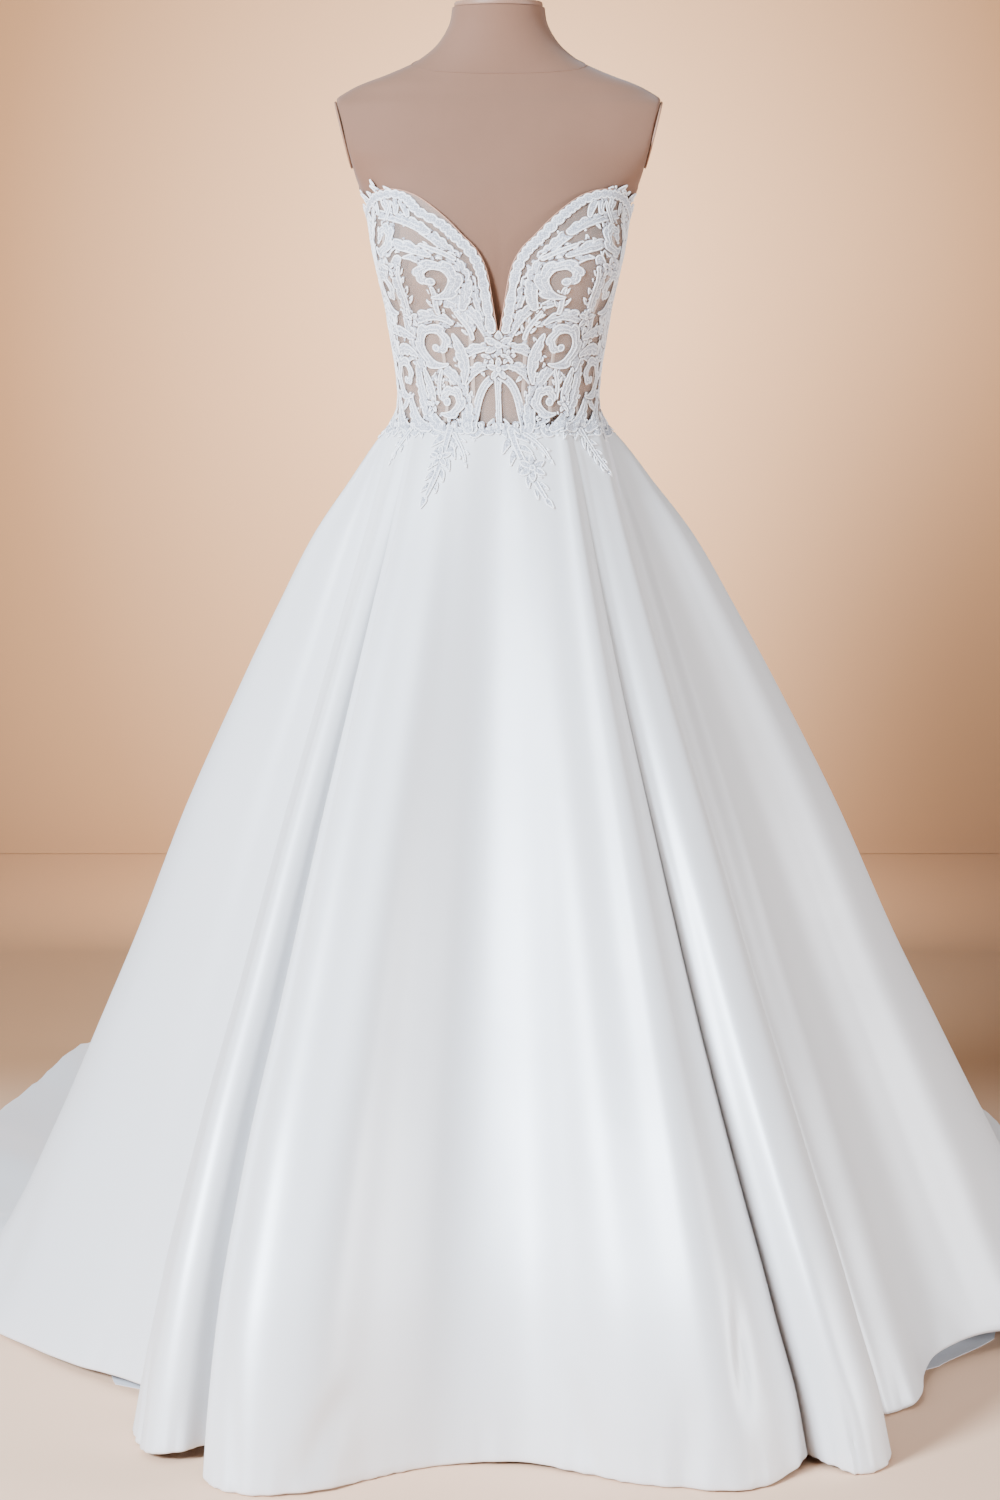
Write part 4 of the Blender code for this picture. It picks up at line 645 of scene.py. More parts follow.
SATIN_STEPS = 9  # columns of faces from each fold to the next
SEAM_SUNK, BESIDE_SEAM = 0.0006, 0.0002  # how far a panel's edge, and the points next to it, are drawn in
HEM_ROLL, HEM_ROLL_STEPS, HEM_TURN = 0.003, 6, 0.022
RAISED_FROM = 0.80  # the share of the way down from which a hem that would sink in the floor is lifted
HEM_RIPPLE, RIPPLED_FROM = 0.0011, 0.93  # the hem's fine waves, and where they start

# Soft troughs (depth below nought) and ridges. Each runs from one place to another: degrees at the waist, and
# a share of the way down. wide is its half width in those degrees.
CREASES = named_rows("from_degrees from_share to_degrees to_share wide depth", [
    (-40, -0.10, -40, 1.30, 5.0, 0.005),
    (-27, 0.90, -34, 1.02, 2.2, -0.006),
    (13, 0.90, 18, 1.04, 1.8, -0.004),
    (38, 0.82, 35.5, 0.95, 1.0, -0.005),
    (0, -0.15, -15, 1.30, 10.0, -0.014),
    (-26, 0.00, -34, 1.40, 6.0, 0.012),
    (20, 0.05, 22, 1.20, 7.0, 0.008),
    (35, -0.20, 34.5, 1.30, 4.0, 0.011),
    (42, -0.20, 42, 1.30, 2.2, -0.004),
    (-46, 0.05, -46, 0.60, 2.0, 0.003),
    (-45, 0.86, -41, 1.10, 1.6, -0.005),
    (30, 0.90, 28, 1.08, 1.5, -0.004),
    (-48, -0.20, -48, 1.30, 3.4, -0.006),
    (-59, -0.20, -59, 1.30, 4.5, 0.008),
    (-68, 0.88, -65, 1.06, 1.2, -0.004),
    (-78, -0.20, -79, 1.30, 3.0, -0.010),
    (-88, -0.10, -89, 1.15, 4.5, 0.010),
    (-93, 0.80, -91, 1.10, 1.3, -0.005),
    (-98, 0.30, -104, 0.95, 2.2, 0.006),
    (-110, 0.35, -112, 1.10, 2.2, -0.008),
    (-118, 0.10, -119, 0.70, 2.0, 0.005),
    (-125, 0.40, -131, 0.95, 2.6, 0.009),
    (-134, 0.05, -136, 0.60, 1.8, -0.005),
    (-142, 0.35, -148, 1.05, 2.4, -0.009),
    (-156, 0.15, -158, 0.85, 2.2, 0.007),
    (-165, 0.45, -160, 1.05, 2.0, 0.008),
    (-172, 0.05, -174, 0.50, 1.6, -0.005),
    (-187, 0.30, -192, 0.90, 2.4, 0.008),
    (-196, 0.05, -197, 0.55, 1.8, -0.005),
    (-204, 0.40, -200, 1.05, 2.2, -0.009),
    (-212, 0.15, -216, 0.80, 2.2, 0.007),
    (-226, 0.35, -221, 1.05, 2.6, 0.009),
    (-233, 0.05, -236, 0.65, 1.8, -0.005),
    (-242, 0.40, -247, 1.05, 2.4, -0.009),
    (-251, 0.10, -250, 0.70, 2.0, 0.005),
    (-262, 0.55, -258, 1.05, 1.8, 0.006),
    (-268, 0.80, -270, 1.05, 1.0, -0.004),
    (-271, -0.10, -270, 1.15, 4.0, 0.012),
    (-280.5, -0.20, -280.5, 1.30, 4.0, -0.020),
    (-296, -0.20, -296, 1.30, 5.0, 0.009),
    (-306, 0.90, -303, 1.06, 1.4, -0.004),
    (-316, -0.20, -316, 1.30, 3.2, 0.004),
])


def creased(degrees, share):
    """How far the creases move the cloth out."""
    total = 0
    for crease in CREASES:
        t = np.clip((share - crease["from_share"]) / (crease["to_share"] - crease["from_share"]), 0, 1)
        middle = crease["from_degrees"] + (crease["to_degrees"] - crease["from_degrees"]) * t
        beside = np.exp(-(((degrees - middle) / crease["wide"]) ** 2))
        total = total + crease["depth"] * np.sin(math.pi * t) ** 1.3 * beside
    hem = np.clip((share - RIPPLED_FROM) / (1 - RIPPLED_FROM), 0, 1) ** 2
    ripples = np.sin(degrees * 1.9 + 2 * np.sin(degrees * 0.31)) + 0.6 * np.sin(degrees * 3.7 + 1.3)
    return total + HEM_RIPPLE * hem * ripples


def satin_grid(folds, first, last, lift):
    """One panel between two folds, creased, with its hem rolled under: (points, outward directions)."""
    low, high = sorted((first, last))
    place = between(range(low, high + 1), SATIN_STEPS)
    if folds[0]["waist"] > folds[-1]["waist"]:
        place = place[::-1]
    degrees = np.interp(place, np.arange(len(folds)), [fold["waist"] for fold in folds])
    share = between(SKIRT_DOWN, 6)[:, None]
    grid = on_folds(folds, place, share, lift)
    normals = grid_normals(grid)
    grid = grid + normals * creased(degrees, share)[..., None]
    seam = np.minimum(np.arange(len(place)), np.arange(len(place))[::-1])
    grid = grid - normals * (SEAM_SUNK * (seam == 0) + BESIDE_SEAM * (seam == 1))[:, None]
    normals = grid_normals(grid)
    down, inward = unit(grid[-1] - grid[-2]), -normals[-1]
    rolled, turned_out = [], []
    for step in range(1, HEM_ROLL_STEPS + 1):
        a = math.pi * step / HEM_ROLL_STEPS
        rolled.append(grid[-1] + (down * math.sin(a) + inward * (1 - math.cos(a))) * HEM_ROLL)
        turned_out.append(down * math.sin(a) - inward * math.cos(a))
    for rise in (0.4, 1.0):
        rolled.append(rolled[HEM_ROLL_STEPS - 1] - down * HEM_TURN * rise)
        turned_out.append(inward)
    grid = np.concatenate([grid, rolled])
    normals = np.concatenate([normals, turned_out])
    hem = slice(-len(rolled) - 1, None)
    lowest = (grid[hem, :, 2] - normals[hem, :, 2].clip(0) * SATIN_WALL).min(axis=0)
    sunk = np.maximum(0, FLOOR_CLEAR - lowest)
    shares = np.concatenate([share[:, 0], np.ones(len(rolled))])[:, None]
    grid[..., 2] += sunk * np.clip((shares - RAISED_FROM) / (1 - RAISED_FROM), 0, 1) ** 2
    grid[..., 2] = np.maximum(grid[..., 2], FLOOR_CLEAR + SATIN_WALL * normals[..., 2].clip(0))
    return grid, normals


satin, tree, shader, spot = blank_material(
    "bridal satin", (0.80, 0.80, 0.81), 0.46, on_cloth=True, Metallic=0.2, Specular_IOR_Level=0.45,
    Sheen_Weight=0.35, Sheen_Roughness=0.35, Sheen_Tint=(0.95, 0.97, 1, 1),
)
mottled(tree, shader, spot, 2.2, (0.785, 0.785, 0.797), (0.812, 0.812, 0.820), 4)
warp, weft = noise(tree, spot, 1, 2, (2400, 300, 1)), noise(tree, spot, 1, 2, (240, 1900, 1))
roughened(tree, shader, (warp, 0.00005), (weft, 0.00003), (noise(tree, spot, 9, 3), 0.0009))

satin_pieces = []
for panel in SATIN_PANELS:
    folds, lift = (FRONT_PANEL, FRONT_LIFT) if panel["name"] == "skirt_front" else (REST_OF_SKIRT, 0.0)
    waists = [fold["waist"] for fold in folds]
    grid, normals = satin_grid(folds, waists.index(panel["first"]), waists.index(panel["last"]), lift)
    made = thin_cloth(panel["name"] + "_satin", grid, SATIN_WALL, satin, normals)
    sewn(made, panel["name"])
    satin_pieces.append(made)


# --- net bodice -------------------------------------------------------
# Six panels of sheer skin-tone net, seamed over the bust with narrow felled seams and stiffened by bones in
# net channels. The neckline is bound with a fine nude cord.

NECKLINE = named_rows("angle z", [
    (0, 1.166), (2.5, 1.204), (5, 1.243), (9, 1.268), (15, 1.287), (21, 1.305), (28, 1.322), (35, 1.334),
    (45, 1.341), (58, 1.339), (68, 1.331), (78, 1.321), (90, 1.312), (110, 1.297), (140, 1.268),
    (165, 1.249), (180, 1.244),
])
CUP = named_rows(
    "z swell", [(1.15, 0.0), (1.19, 0.002), (1.235, 0.008), (1.27, 0.0095), (1.305, 0.006), (1.34, 0.001)]
)
CUP_SPREAD = BUST_SPREAD * 1.15
BRIDGE_OUT, BRIDGE_ANGLE, BRIDGE_Z, BRIDGE_HALF = 0.007, 0.3, 1.185, 0.05  # the net that spans the cups
WAIST_FLARE = named_rows("z out", [(1.0, 0.0066), (1.064, 0.0048), (1.078, 0.0016), (1.1, 0.0)])
NET_EASE, NET_WALL, SHEER_WALL = 0.0017, 0.001, 0.0004  # off the form, in the solid, in the sheer net


def bodice_at(angle, z, out=0.0):
    """Points on the outer face of the net, moved out."""
    angle, z, out = np.broadcast_arrays(np.asarray(angle, float), z, out)
    over_cup = np.exp(-(((np.abs(angle) - BUST_ANGLE) / CUP_SPREAD) ** 2))
    cup = table_value(CUP, "z", "swell", z) * over_cup
    over_bridge = np.exp(-((angle / BRIDGE_ANGLE) ** 2)) * np.exp(-(((z - BRIDGE_Z) / BRIDGE_HALF) ** 2))
    bridge = BRIDGE_OUT * over_bridge
    flare = table_value(WAIST_FLARE, "z", "out", z)
    return torso_at(angle, z, NET_EASE + NET_WALL + cup + bridge + flare + out)


def neckline_at(degrees):
    """The height of the bodice's top edge."""
    return table_value(NECKLINE, "angle", "z", np.abs(degrees))


net, tree, shader, spot = blank_material("nude net", (0.66, 0.50, 0.42), 0.75, on_cloth=True, Alpha=0.16)
cells = add_node(tree, "ShaderNodeTexVoronoi", {"Vector": spot, "Scale": 900.0}, feature="DISTANCE_TO_EDGE")
to_thread = cells.outputs["Distance"]
tinted(tree, shader, to_thread, [(0.02, (0.72, 0.56, 0.47)), (0.35, (0.60, 0.45, 0.38))])
roughened(tree, shader, (to_thread, 0.00008))
bone_net, tree, shader, spot = blank_material("bone channel net", (0.66, 0.52, 0.44), 0.6, Alpha=0.55)
mottled(tree, shader, spot, 160, (0.62, 0.48, 0.40), (0.72, 0.57, 0.49))
roughened(tree, shader, (noise(tree, spot, 900, 2, (1, 1, 0.2)), 0.0001))

NET_PANELS = named_rows("part from_degrees to_degrees columns width length area", [
    ("front", 0, 50, 40, 0.135, 0.28, 0.031),
    ("side", 50, 100, 26, 0.105, 0.27, 0.025),
    ("back", 100, 180, 26, 0.17, 0.24, 0.034),
])
NET_ROWS = 50
for panel in NET_PANELS:
    for side, word in SIDES:
        degrees = np.linspace(panel["from_degrees"], panel["to_degrees"], panel["columns"]) * side
        if side < 0:
            degrees = degrees[::-1]
        foot = WAIST_Z + SEAM_GAP
        share = np.linspace(1, 0, NET_ROWS)[:, None]
        grid = bodice_at(np.radians(degrees), foot + (neckline_at(degrees) - foot) * share)
        made = thin_cloth(f"net_{panel['part']}_{word}", grid, SHEER_WALL, net)
        sewn(made, f"bodice_{panel['part']}_{word}")


def net_run(angle, z, lift, radius, flat):
    """One run of cord on the net."""
    path = bodice_at(angle, z, lift)
    return path, unit(bodice_at(angle, z, 0.01) - path), radius, flat


BONES = (14, 30, 50, 68, 84, 100, 124, 150)  # degrees from centre front, where 50 and 100 lie over seams
CUP_EDGE, BONE_TOP = 50, 1.205  # bones within these degrees end under the cup, at this height
BONE_HALF, BONE_FLAT, BONE_FOOT, BONE_SHORT, BONE_POINTS = 0.0026, 0.28, 0.002, 0.012, 40
runs = []
for degrees in [side * bone for bone in BONES for side in (-1, 1)]:
    top = float(neckline_at(degrees)) - BONE_SHORT
    if abs(degrees) < CUP_EDGE:
        top = min(top, BONE_TOP)
    z = np.linspace(WAIST_Z + BONE_FOOT, top, BONE_POINTS)
    runs.append(net_run(math.radians(degrees) + 0 * z, z, 0.0002, BONE_HALF, BONE_FLAT))
settled(corded("net_bone_channels", runs, bone_net, sides=8))

binding, tree, shader, spot = blank_material("nude binding", (0.50, 0.26, 0.17), 0.6)
mottled(tree, shader, spot, 200, (0.47, 0.24, 0.155), (0.53, 0.28, 0.185))
roughened(tree, shader, (noise(tree, spot, 1500, 2), 0.0001))
BINDING_HALF = 0.0007
degrees = np.linspace(-179.6, 179.6, 900)
run = net_run(np.radians(degrees), neckline_at(degrees) + 0.0002, -0.0002, BINDING_HALF, 1.0)
settled(corded("nude_neck_binding", [run], binding))


# --- corded lace ------------------------------------------------------
# Scrolls, leaves and flowers of close dotted stitching, machine embroidered as one cut-out panel at the front
# and two at the back, with raised white cords along every edge, tacked down on the net and over the waist.

# Charts in millimetres from centre front and up from the waist seam. A ribbon has two ends and two points
# that pull it, and its width at the start, in the middle and at the end.
RIBBON = "x0 y0 x1 y1 x2 y2 x3 y3 start middle end"
FRONT_RIBBONS = named_rows(RIBBON, [
    (10, 106, 24, 168, 38, 208, 64, 228, 9, 10, 10),
    (62, 227, 78, 241, 96, 246, 124, 248, 9, 11, 10),
    (0, -4, 2, 20, -2, 40, 0, 60, 6, 6, 9),
    (2, 60, 18, 54, 27, 36, 29, -2, 9, 9, 10),
    (4, 72, 22, 76, 36, 62, 44, 46, 7, 11, 7),
    (4, 92, 22, 98, 36, 86, 50, 80, 6, 11, 7),
    (8, 100, 16, 122, 26, 136, 40, 142, 9, 11, 8),
    (34, -2, 40, 30, 44, 52, 66, 70, 12, 14, 11),
    (64, -2, 90, 10, 110, 30, 106, 70, 11, 15, 10),
    (98, 70, 108, 98, 112, 120, 98, 140, 12, 14, 11),
    (88, 196, 98, 178, 94, 150, 100, 132, 10, 13, 9),
    (36, 140, 30, 158, 30, 180, 44, 200, 9, 12, 9),
    (84, -2, 104, 2, 122, 14, 130, 36, 10, 12, 9),
    (118, -2, 140, 2, 158, 14, 168, 34, 10, 12, 9),
    (160, -2, 176, 4, 190, 8, 206, 22, 9, 11, 9),
    (152, 80, 164, 96, 160, 122, 152, 142, 11, 13, 10),
    (204, 58, 196, 74, 200, 86, 202, 104, 10, 12, 10),
    (150, 138, 148, 168, 162, 186, 164, 212, 10, 13, 10),
    (205, 134, 198, 152, 192, 168, 188, 184, 10, 12, 10),
    (92, 210, 106, 202, 114, 192, 120, 184, 9, 11, 9),
    (142, 226, 152, 238, 160, 242, 176, 242, 10, 14, 9),
    (42, 52, 36, 70, 42, 90, 50, 108, 5, 13, 4),
    (50, 122, 66, 138, 84, 130, 98, 120, 6, 12, 5),
    (106, 84, 118, 94, 134, 94, 150, 86, 6, 13, 6),
    (102, 104, 118, 112, 136, 116, 154, 112, 6, 12, 6),
    (60, 200, 72, 208, 86, 214, 102, 214, 6, 12, 5),
    (150, 178, 142, 190, 140, 202, 146, 216, 6, 12, 6),
    (160, 160, 172, 160, 186, 154, 200, 144, 6, 12, 6),
    (160, 78, 172, 86, 186, 84, 200, 76, 6, 11, 6),
    (88, 14, 84, 34, 90, 50, 96, 68, 6, 12, 4),
    (96, 250, 96, 262, 100, 272, 110, 281, 6, 9, 2),
    (110, 252, 112, 264, 119, 274, 131, 283, 7, 11, 2),
    (127, 250, 131, 262, 136, 270, 145, 276, 6, 9, 2),
    (139, 248, 146, 260, 155, 268, 168, 274, 8, 11, 2),
    (157, 244, 163, 252, 170, 258, 179, 262, 6, 9, 2),
    (169, 240, 178, 249, 187, 255, 200, 258, 7, 11, 2),
    (82, 246, 84, 254, 88, 262, 96, 269, 5, 8, 2),
])
BACK_RIBBONS = named_rows(RIBBON, [
    (216, -2, 222, 14, 226, 26, 232, 38, 10, 13, 9),
    (214, 40, 222, 80, 214, 110, 222, 140, 10, 13, 9),
    (216, 138, 208, 160, 216, 190, 212, 232, 10, 13, 9),
    (262, 60, 272, 84, 268, 104, 260, 128, 10, 13, 9),
    (284, -2, 290, 12, 292, 24, 296, 42, 10, 12, 9),
    (302, 90, 296, 104, 300, 116, 304, 128, 10, 13, 9),
    (270, 150, 276, 160, 284, 158, 290, 148, 8, 11, 8),
    (236, 88, 230, 100, 232, 112, 240, 124, 9, 12, 8),
    (262, 170, 258, 190, 252, 206, 256, 222, 9, 12, 8),
    (324, 168, 330, 178, 336, 184, 346, 190, 9, 12, 8),
    (306, 172, 300, 184, 304, 192, 312, 198, 8, 11, 8),
    (344, -2, 350, 10, 352, 22, 354, 32, 10, 12, 9),
    (380, -2, 386, 40, 376, 110, 380, 182, 10, 12, 10),
    (356, 72, 348, 88, 348, 100, 352, 112, 9, 12, 9),
    (326, 62, 336, 84, 332, 108, 328, 134, 9, 12, 8),
    (364, 152, 358, 164, 356, 172, 362, 184, 8, 11, 8),
    (214, 20, 222, 24, 246, 20, 256, 22, 7, 10, 7),
    (300, 20, 308, 24, 314, 22, 320, 18, 7, 10, 7),
    (364, 24, 372, 24, 376, 26, 382, 28, 7, 9, 7),
    (368, 104, 374, 102, 376, 100, 382, 98, 7, 9, 7),
    (234, 132, 230, 138, 224, 142, 216, 142, 8, 10, 8),
    (328, 112, 336, 104, 342, 106, 350, 112, 7, 10, 7),
    (322, 62, 332, 66, 338, 58, 344, 52, 8, 11, 8),
    (240, 170, 236, 182, 234, 190, 228, 198, 8, 11, 8),
    (328, 150, 336, 152, 342, 146, 346, 140, 7, 10, 7),
])
# A curl starts this many degrees round from straight up and sweeps inward, from its first width to its last.
SCROLL = "x y radius from sweep first last leaves"
FRONT_SCROLLS = named_rows(SCROLL, [
    (72, 98, 27, 205, -400, 13.5, 7, 6),
    (60, 174, 23, 170, 350, 13, 7, 6),
    (136, 60, 26, 200, -390, 13, 7, 6),
    (124, 160, 27, 190, -380, 13.5, 7, 6),
    (180, 116, 22, 170, 360, 13, 8, 4),
    (184, 198, 21, 200, -350, 13, 8, 4),
    (62, 32, 19, 150, 340, 12, 8, 3),
    (188, 40, 19, 190, -340, 12, 8, 3),
    (112, 222, 19, 130, 330, 12, 8, 3),
])
BACK_SCROLLS = named_rows(SCROLL, [
    (240, 60, 24, 200, -370, 14, 8, 5),
    (248, 148, 25, 190, -370, 14, 8, 5),
    (228, 206, 17, 150, 330, 11, 7, 3),
    (302, 66, 25, 170, 370, 14, 8, 5),
    (308, 150, 23, 160, 350, 14, 8, 5),
    (358, 52, 21, 200, -360, 13, 8, 4),
    (354, 132, 21, 200, -360, 13, 8, 4),
    (270, 20, 15, 200, -330, 11, 7, 3),
    (332, 18, 14, 160, 330, 10, 7, 3),
    (284, 190, 15, 160, 330, 11, 7, 3),
])
# A stem, drawn as a ribbon is, with pairs of leaves, the first of them this long. A row with a side of 1 is
# on the wearer's left alone, with -1 on the right alone, and with 0 or no side on both.
FROND = RIBBON + " pairs leaf"
FRONT_FRONDS = named_rows("side " + FROND, [
    (-1, 56, -2, 60, -26, 62, -46, 74, -78, 8, 6, 4, 5, 25),
    (-1, 50, -8, 44, -18, 38, -26, 36, -38, 5, 4, 3, 2, 13),
    (-1, 116, -4, 122, -16, 128, -26, 136, -38, 5, 4, 3, 3, 14),
    (1, 14, -2, 20, -30, 32, -50, 48, -80, 8, 6, 4, 5, 24),
    (1, 30, -8, 44, -16, 50, -24, 56, -36, 5, 4, 3, 2, 13),
    (1, 106, -4, 116, -18, 124, -32, 136, -50, 7, 5, 4, 4, 18),
    (0, 150, 212, 150, 232, 142, 244, 136, 262, 5, 5, 4, 4, 19),
    (0, 182, 206, 182, 224, 176, 236, 170, 248, 5, 5, 4, 3, 17),
    (0, 118, 216, 116, 230, 108, 244, 104, 262, 5, 5, 4, 3, 16),
    (0, 28, 104, 30, 118, 40, 126, 44, 134, 5, 5, 4, 3, 13),
    (0, 74, 34, 78, 46, 74, 56, 70, 66, 5, 5, 4, 3, 14),
    (0, 150, 66, 146, 78, 150, 88, 146, 100, 5, 5, 4, 3, 14),
    (0, 136, 112, 142, 124, 140, 134, 146, 142, 5, 5, 4, 3, 14),
    (0, 176, 60, 182, 72, 176, 82, 180, 94, 5, 5, 4, 3, 13),
    (0, 40, 196, 50, 204, 56, 206, 66, 212, 5, 5, 4, 3, 12),
    (0, 96, 140, 92, 156, 94, 170, 88, 186, 5, 5, 4, 4, 15),
    (0, 62, 134, 64, 146, 60, 154, 62, 162, 5, 5, 4, 2, 13),
])
BACK_FRONDS = named_rows(FROND, [
    (262, 30, 268, 44, 262, 52, 268, 62, 5, 5, 4, 3, 14),
    (278, 104, 284, 120, 278, 130, 286, 142, 5, 5, 4, 3, 15),
    (330, 30, 334, 42, 328, 50, 332, 58, 5, 5, 4, 3, 13),
    (284, 76, 282, 88, 276, 92, 272, 100, 5, 5, 4, 2, 12),
    (240, -4, 246, -20, 250, -34, 262, -50, 5, 4, 3, 4, 16),
    (330, -4, 336, -22, 338, -36, 346, -54, 5, 4, 3, 4, 17),
    (372, -4, 370, -24, 366, -40, 368, -62, 5, 4, 3, 4, 16),
])
FLOWERS = named_rows("side x y size petals", [
    (1, 0, 96, 17, 6),
    (1, 0, 68, 14, 5),
    (0, 11, 82, 9, 5),
    (1, 36, -46, 16, 6),
    (-1, 64, -34, 13, 5),
    (0, 104, 186, 12, 5),
    (0, 98, 128, 12, 5),
    (0, 154, 148, 11, 5),
    (0, 168, 222, 11, 5),
    (0, 86, 26, 10, 5),
])
RIBBON_STEPS, LEAF_STEPS, CURL_STEPS, BORDER_STEPS = 44, 8, 72, 260
BROAD, LOBE_LONG, LEAF_EVERY = 9, 11.0, 13  # mm: broader ribbons have leafy lobes and leaves, at this spacing
LOBE_DEEP = 0.75  # a share of the ribbon's half width
SWAG_WIDE, SWAG_DROP, SWAG_STEPS = 15.5, 9.0, 14  # mm, of the scallops that hang over the waist seam
BORDER_FRONT, BORDER_BACK = (0.8, 94.0), (97.5, 176.0)  # degrees, from and to
BORDER_INSET, BORDER_WIDTH, SCALLOP, SCALLOP_DEEP = 2.2, 7.2, 9.0, 2.6  # mm
UNEVEN, UNEVEN_EVERY, BORDER_THIN = 2.5, 0.11, 0.8  # mm, radians for each mm, mm: the edging's hand-set look
BARE_NET, BARE_MIDDLE, BARE_SPREAD = 7.0, 29.0, 7.0  # mm and degrees: the bare edge of the right cup
LACE_RADIUS = 0.125  # turns a chart's distance from centre front into an angle round the body
LACE_WALL, LACE_DOME, LACE_LIFT = 0.0005, 0.0008, 0.0007  # metres: thickness, swell, and height off the net
CHART_STEP, STRAYS, LONGEST_EDGE, SLIT = 0.6, 0.12, 5.0, 1.9  # mm
CHART_MARGIN, MARGIN_BEFORE, MARGIN_AFTER, STROKE_REACH = 12, 1.2, 1.8, 5  # mm of grid round the strokes
OUTSIDE = -1e3  # how deep inside every stroke a place is that none of them reaches
SMALLEST_GAP, SMALLEST_PATCH = 1.3, 7.0  # square millimetres
INNER_STEP, INNER_CLEAR = LONGEST_EDGE * 0.7, 1.2  # mm between the points inside a patch, and from its edge
# How wide leaves and petals are along their length. A curl's leaf has its points outward and along.
LEAF_ALONG, LEAF_WIDTHS = (0, 0.4, 0.8, 1), (0.5, 1, 0.55, 0.1)
PETAL_ALONG, PETAL_WIDTHS = (0, 0.62, 0.9, 1), (0.16, 0.25, 0.14, 0.05)
CURL_LEAF, CURL_WIDTHS, CURL_TIP = ((0, 0), (0.38, 0.12), (0.6, 0.42), (0.64, 0.8)), (0.30, 0.36, 0.30), 1.2
LEAF, VINE, CURL, PETAL, EDGING, DOT = range(6)  # what lies over what


def ways_of(line):
    """Directions along a flat line and to the left of it."""
    along = unit(np.gradient(line, axis=0))
    return along, np.stack([-along[:, 1], along[:, 0]], axis=-1)


def length_of(line):
    """How long a line is."""
    return np.linalg.norm(np.diff(line, axis=0), axis=1).sum()


LOBE_POINTED, LOBE_LOW, LOBE_FADE = 1.3, 0.45, 0.4  # how a lobe swells, its least, and how the ends have less


def lobed(line, half, lobes, deep, way):
    """The stroke's line and half widths with pointed lobes, as on an acanthus leaf, along one side."""
    t = np.linspace(0, 1, len(line))
    fade = np.sin(math.pi * np.clip(t, 0.02, 0.98)) ** LOBE_FADE
    more = half * deep * (((lobes * t) % 1) ** LOBE_POINTED - LOBE_LOW) * fade
    return line + ways_of(line)[1] * way * more[:, None] / 2, half + more / 2


def ribbon(row, side, steps=RIBBON_STEPS):
    """A stroke: its level, the points of its centre line and its half widths, in mm."""
    corners = np.array([[row[f"x{i}"] * side, row[f"y{i}"]] for i in range(4)], float)
    t = np.linspace(0, 1, steps + 1)[:, None]
    line = (1 - t) ** 3 * corners[0] + 3 * t * (1 - t) ** 2 * corners[1]
    line = line + 3 * t**2 * (1 - t) * corners[2] + t**3 * corners[3]
    t = t[:, 0]
    bulge = np.sin(math.pi * t)
    half = ((1 - t) * row["start"] + t * row["end"]) / 2 * (1 - bulge) + row["middle"] / 2 * bulge
    if row["middle"] > BROAD:
        way = side if (row["x0"] + row["y0"]) % 4 < 2 else -side
        line, half = lobed(line, half, max(2, round(length_of(line) / LOBE_LONG)), LOBE_DEEP, way)
    return VINE, line, half


def leaf(start, way, bend, length, wide):
    """The stroke of a pointed leaf that sets off in a direction and bends by an angle."""
    t = np.linspace(0, 1, LEAF_STEPS)
    sine, cosine = np.sin(bend * t), np.cos(bend * t)
    along = np.stack([cosine * way[0] - sine * way[1], sine * way[0] + cosine * way[1]], axis=-1)
    line = start + np.concatenate([[[0, 0]], np.cumsum(along[:-1], axis=0)]) * length / (LEAF_STEPS - 1)
    return LEAF, line, wide / 2 * np.interp(t, LEAF_ALONG, LEAF_WIDTHS)


def leaned(way, angle):
    """A direction turned by an angle."""
    sine, cosine = math.sin(angle), math.cos(angle)
    return np.array([way[0] * cosine - way[1] * sine, way[0] * sine + way[1] * cosine])


SPRIG_LONG, SPRIG_VARIES, SPRIG_WIDE = 8.5, 2.5, 0.5  # mm, mm, and a share of its length
SPRIG_ROOT, SPRIG_LEAN, SPRIG_BEND = 0.6, 0.75, 0.5  # a share of the ribbon's half width, and radians


def leafed(row, side):
    """A ribbon with small leaves on its two sides in turn."""
    stem = ribbon(row, side)
    _, line, half = stem
    along, _ = ways_of(line)
    strokes = []
    if row["middle"] > BROAD:
        count = length_of(line) / LEAF_EVERY
        for k in range(int(count)):
            n = int((k + 0.7) / count * (len(line) - 1))
            way = 1 if k % 2 else -1
            size = SPRIG_LONG + SPRIG_VARIES * math.sin(5 * k + row["x0"])
            root = line[n] + leaned(along[n], way * math.pi / 2) * half[n] * SPRIG_ROOT
            out = leaned(along[n], way * SPRIG_LEAN)
            strokes.append(leaf(root, out, way * SPRIG_BEND, size, size * SPRIG_WIDE))
    return strokes + [stem]


PAIR_LEAN, PAIR_CLOSES, PAIR_BEND = 1.05, 0.35, 0.55  # radians, at the stem's foot and less of it at its tip
PAIR_SHRINKS, PAIR_WIDE = 0.4, 0.40  # shares of a leaf's length
TIP_BEND, TIP_LONG, TIP_WIDE = 0.2, 0.6, 0.30  # radians, and shares of the first leaf's length


def frond(row, side):
    """A stem with pairs of leaves that grow smaller to its tip."""
    stem = ribbon(row, side)
    _, line, _ = stem
    along, _ = ways_of(line)
    strokes = []
    for k in range(row["pairs"]):
        t = (k + 0.55) / (row["pairs"] + 0.3)
        n = int(t * (len(line) - 1))
        size = row["leaf"] * (1 - PAIR_SHRINKS * t)
        for way in (-1, 1):
            root, out = line[n - 2 * (way > 0)], leaned(along[n], way * (PAIR_LEAN - PAIR_CLOSES * t))
            strokes.append(leaf(root, out, -way * PAIR_BEND, size, size * PAIR_WIDE))
    strokes.append(leaf(line[-1], along[-1], TIP_BEND, row["leaf"] * TIP_LONG, row["leaf"] * TIP_WIDE))
    return strokes + [stem]


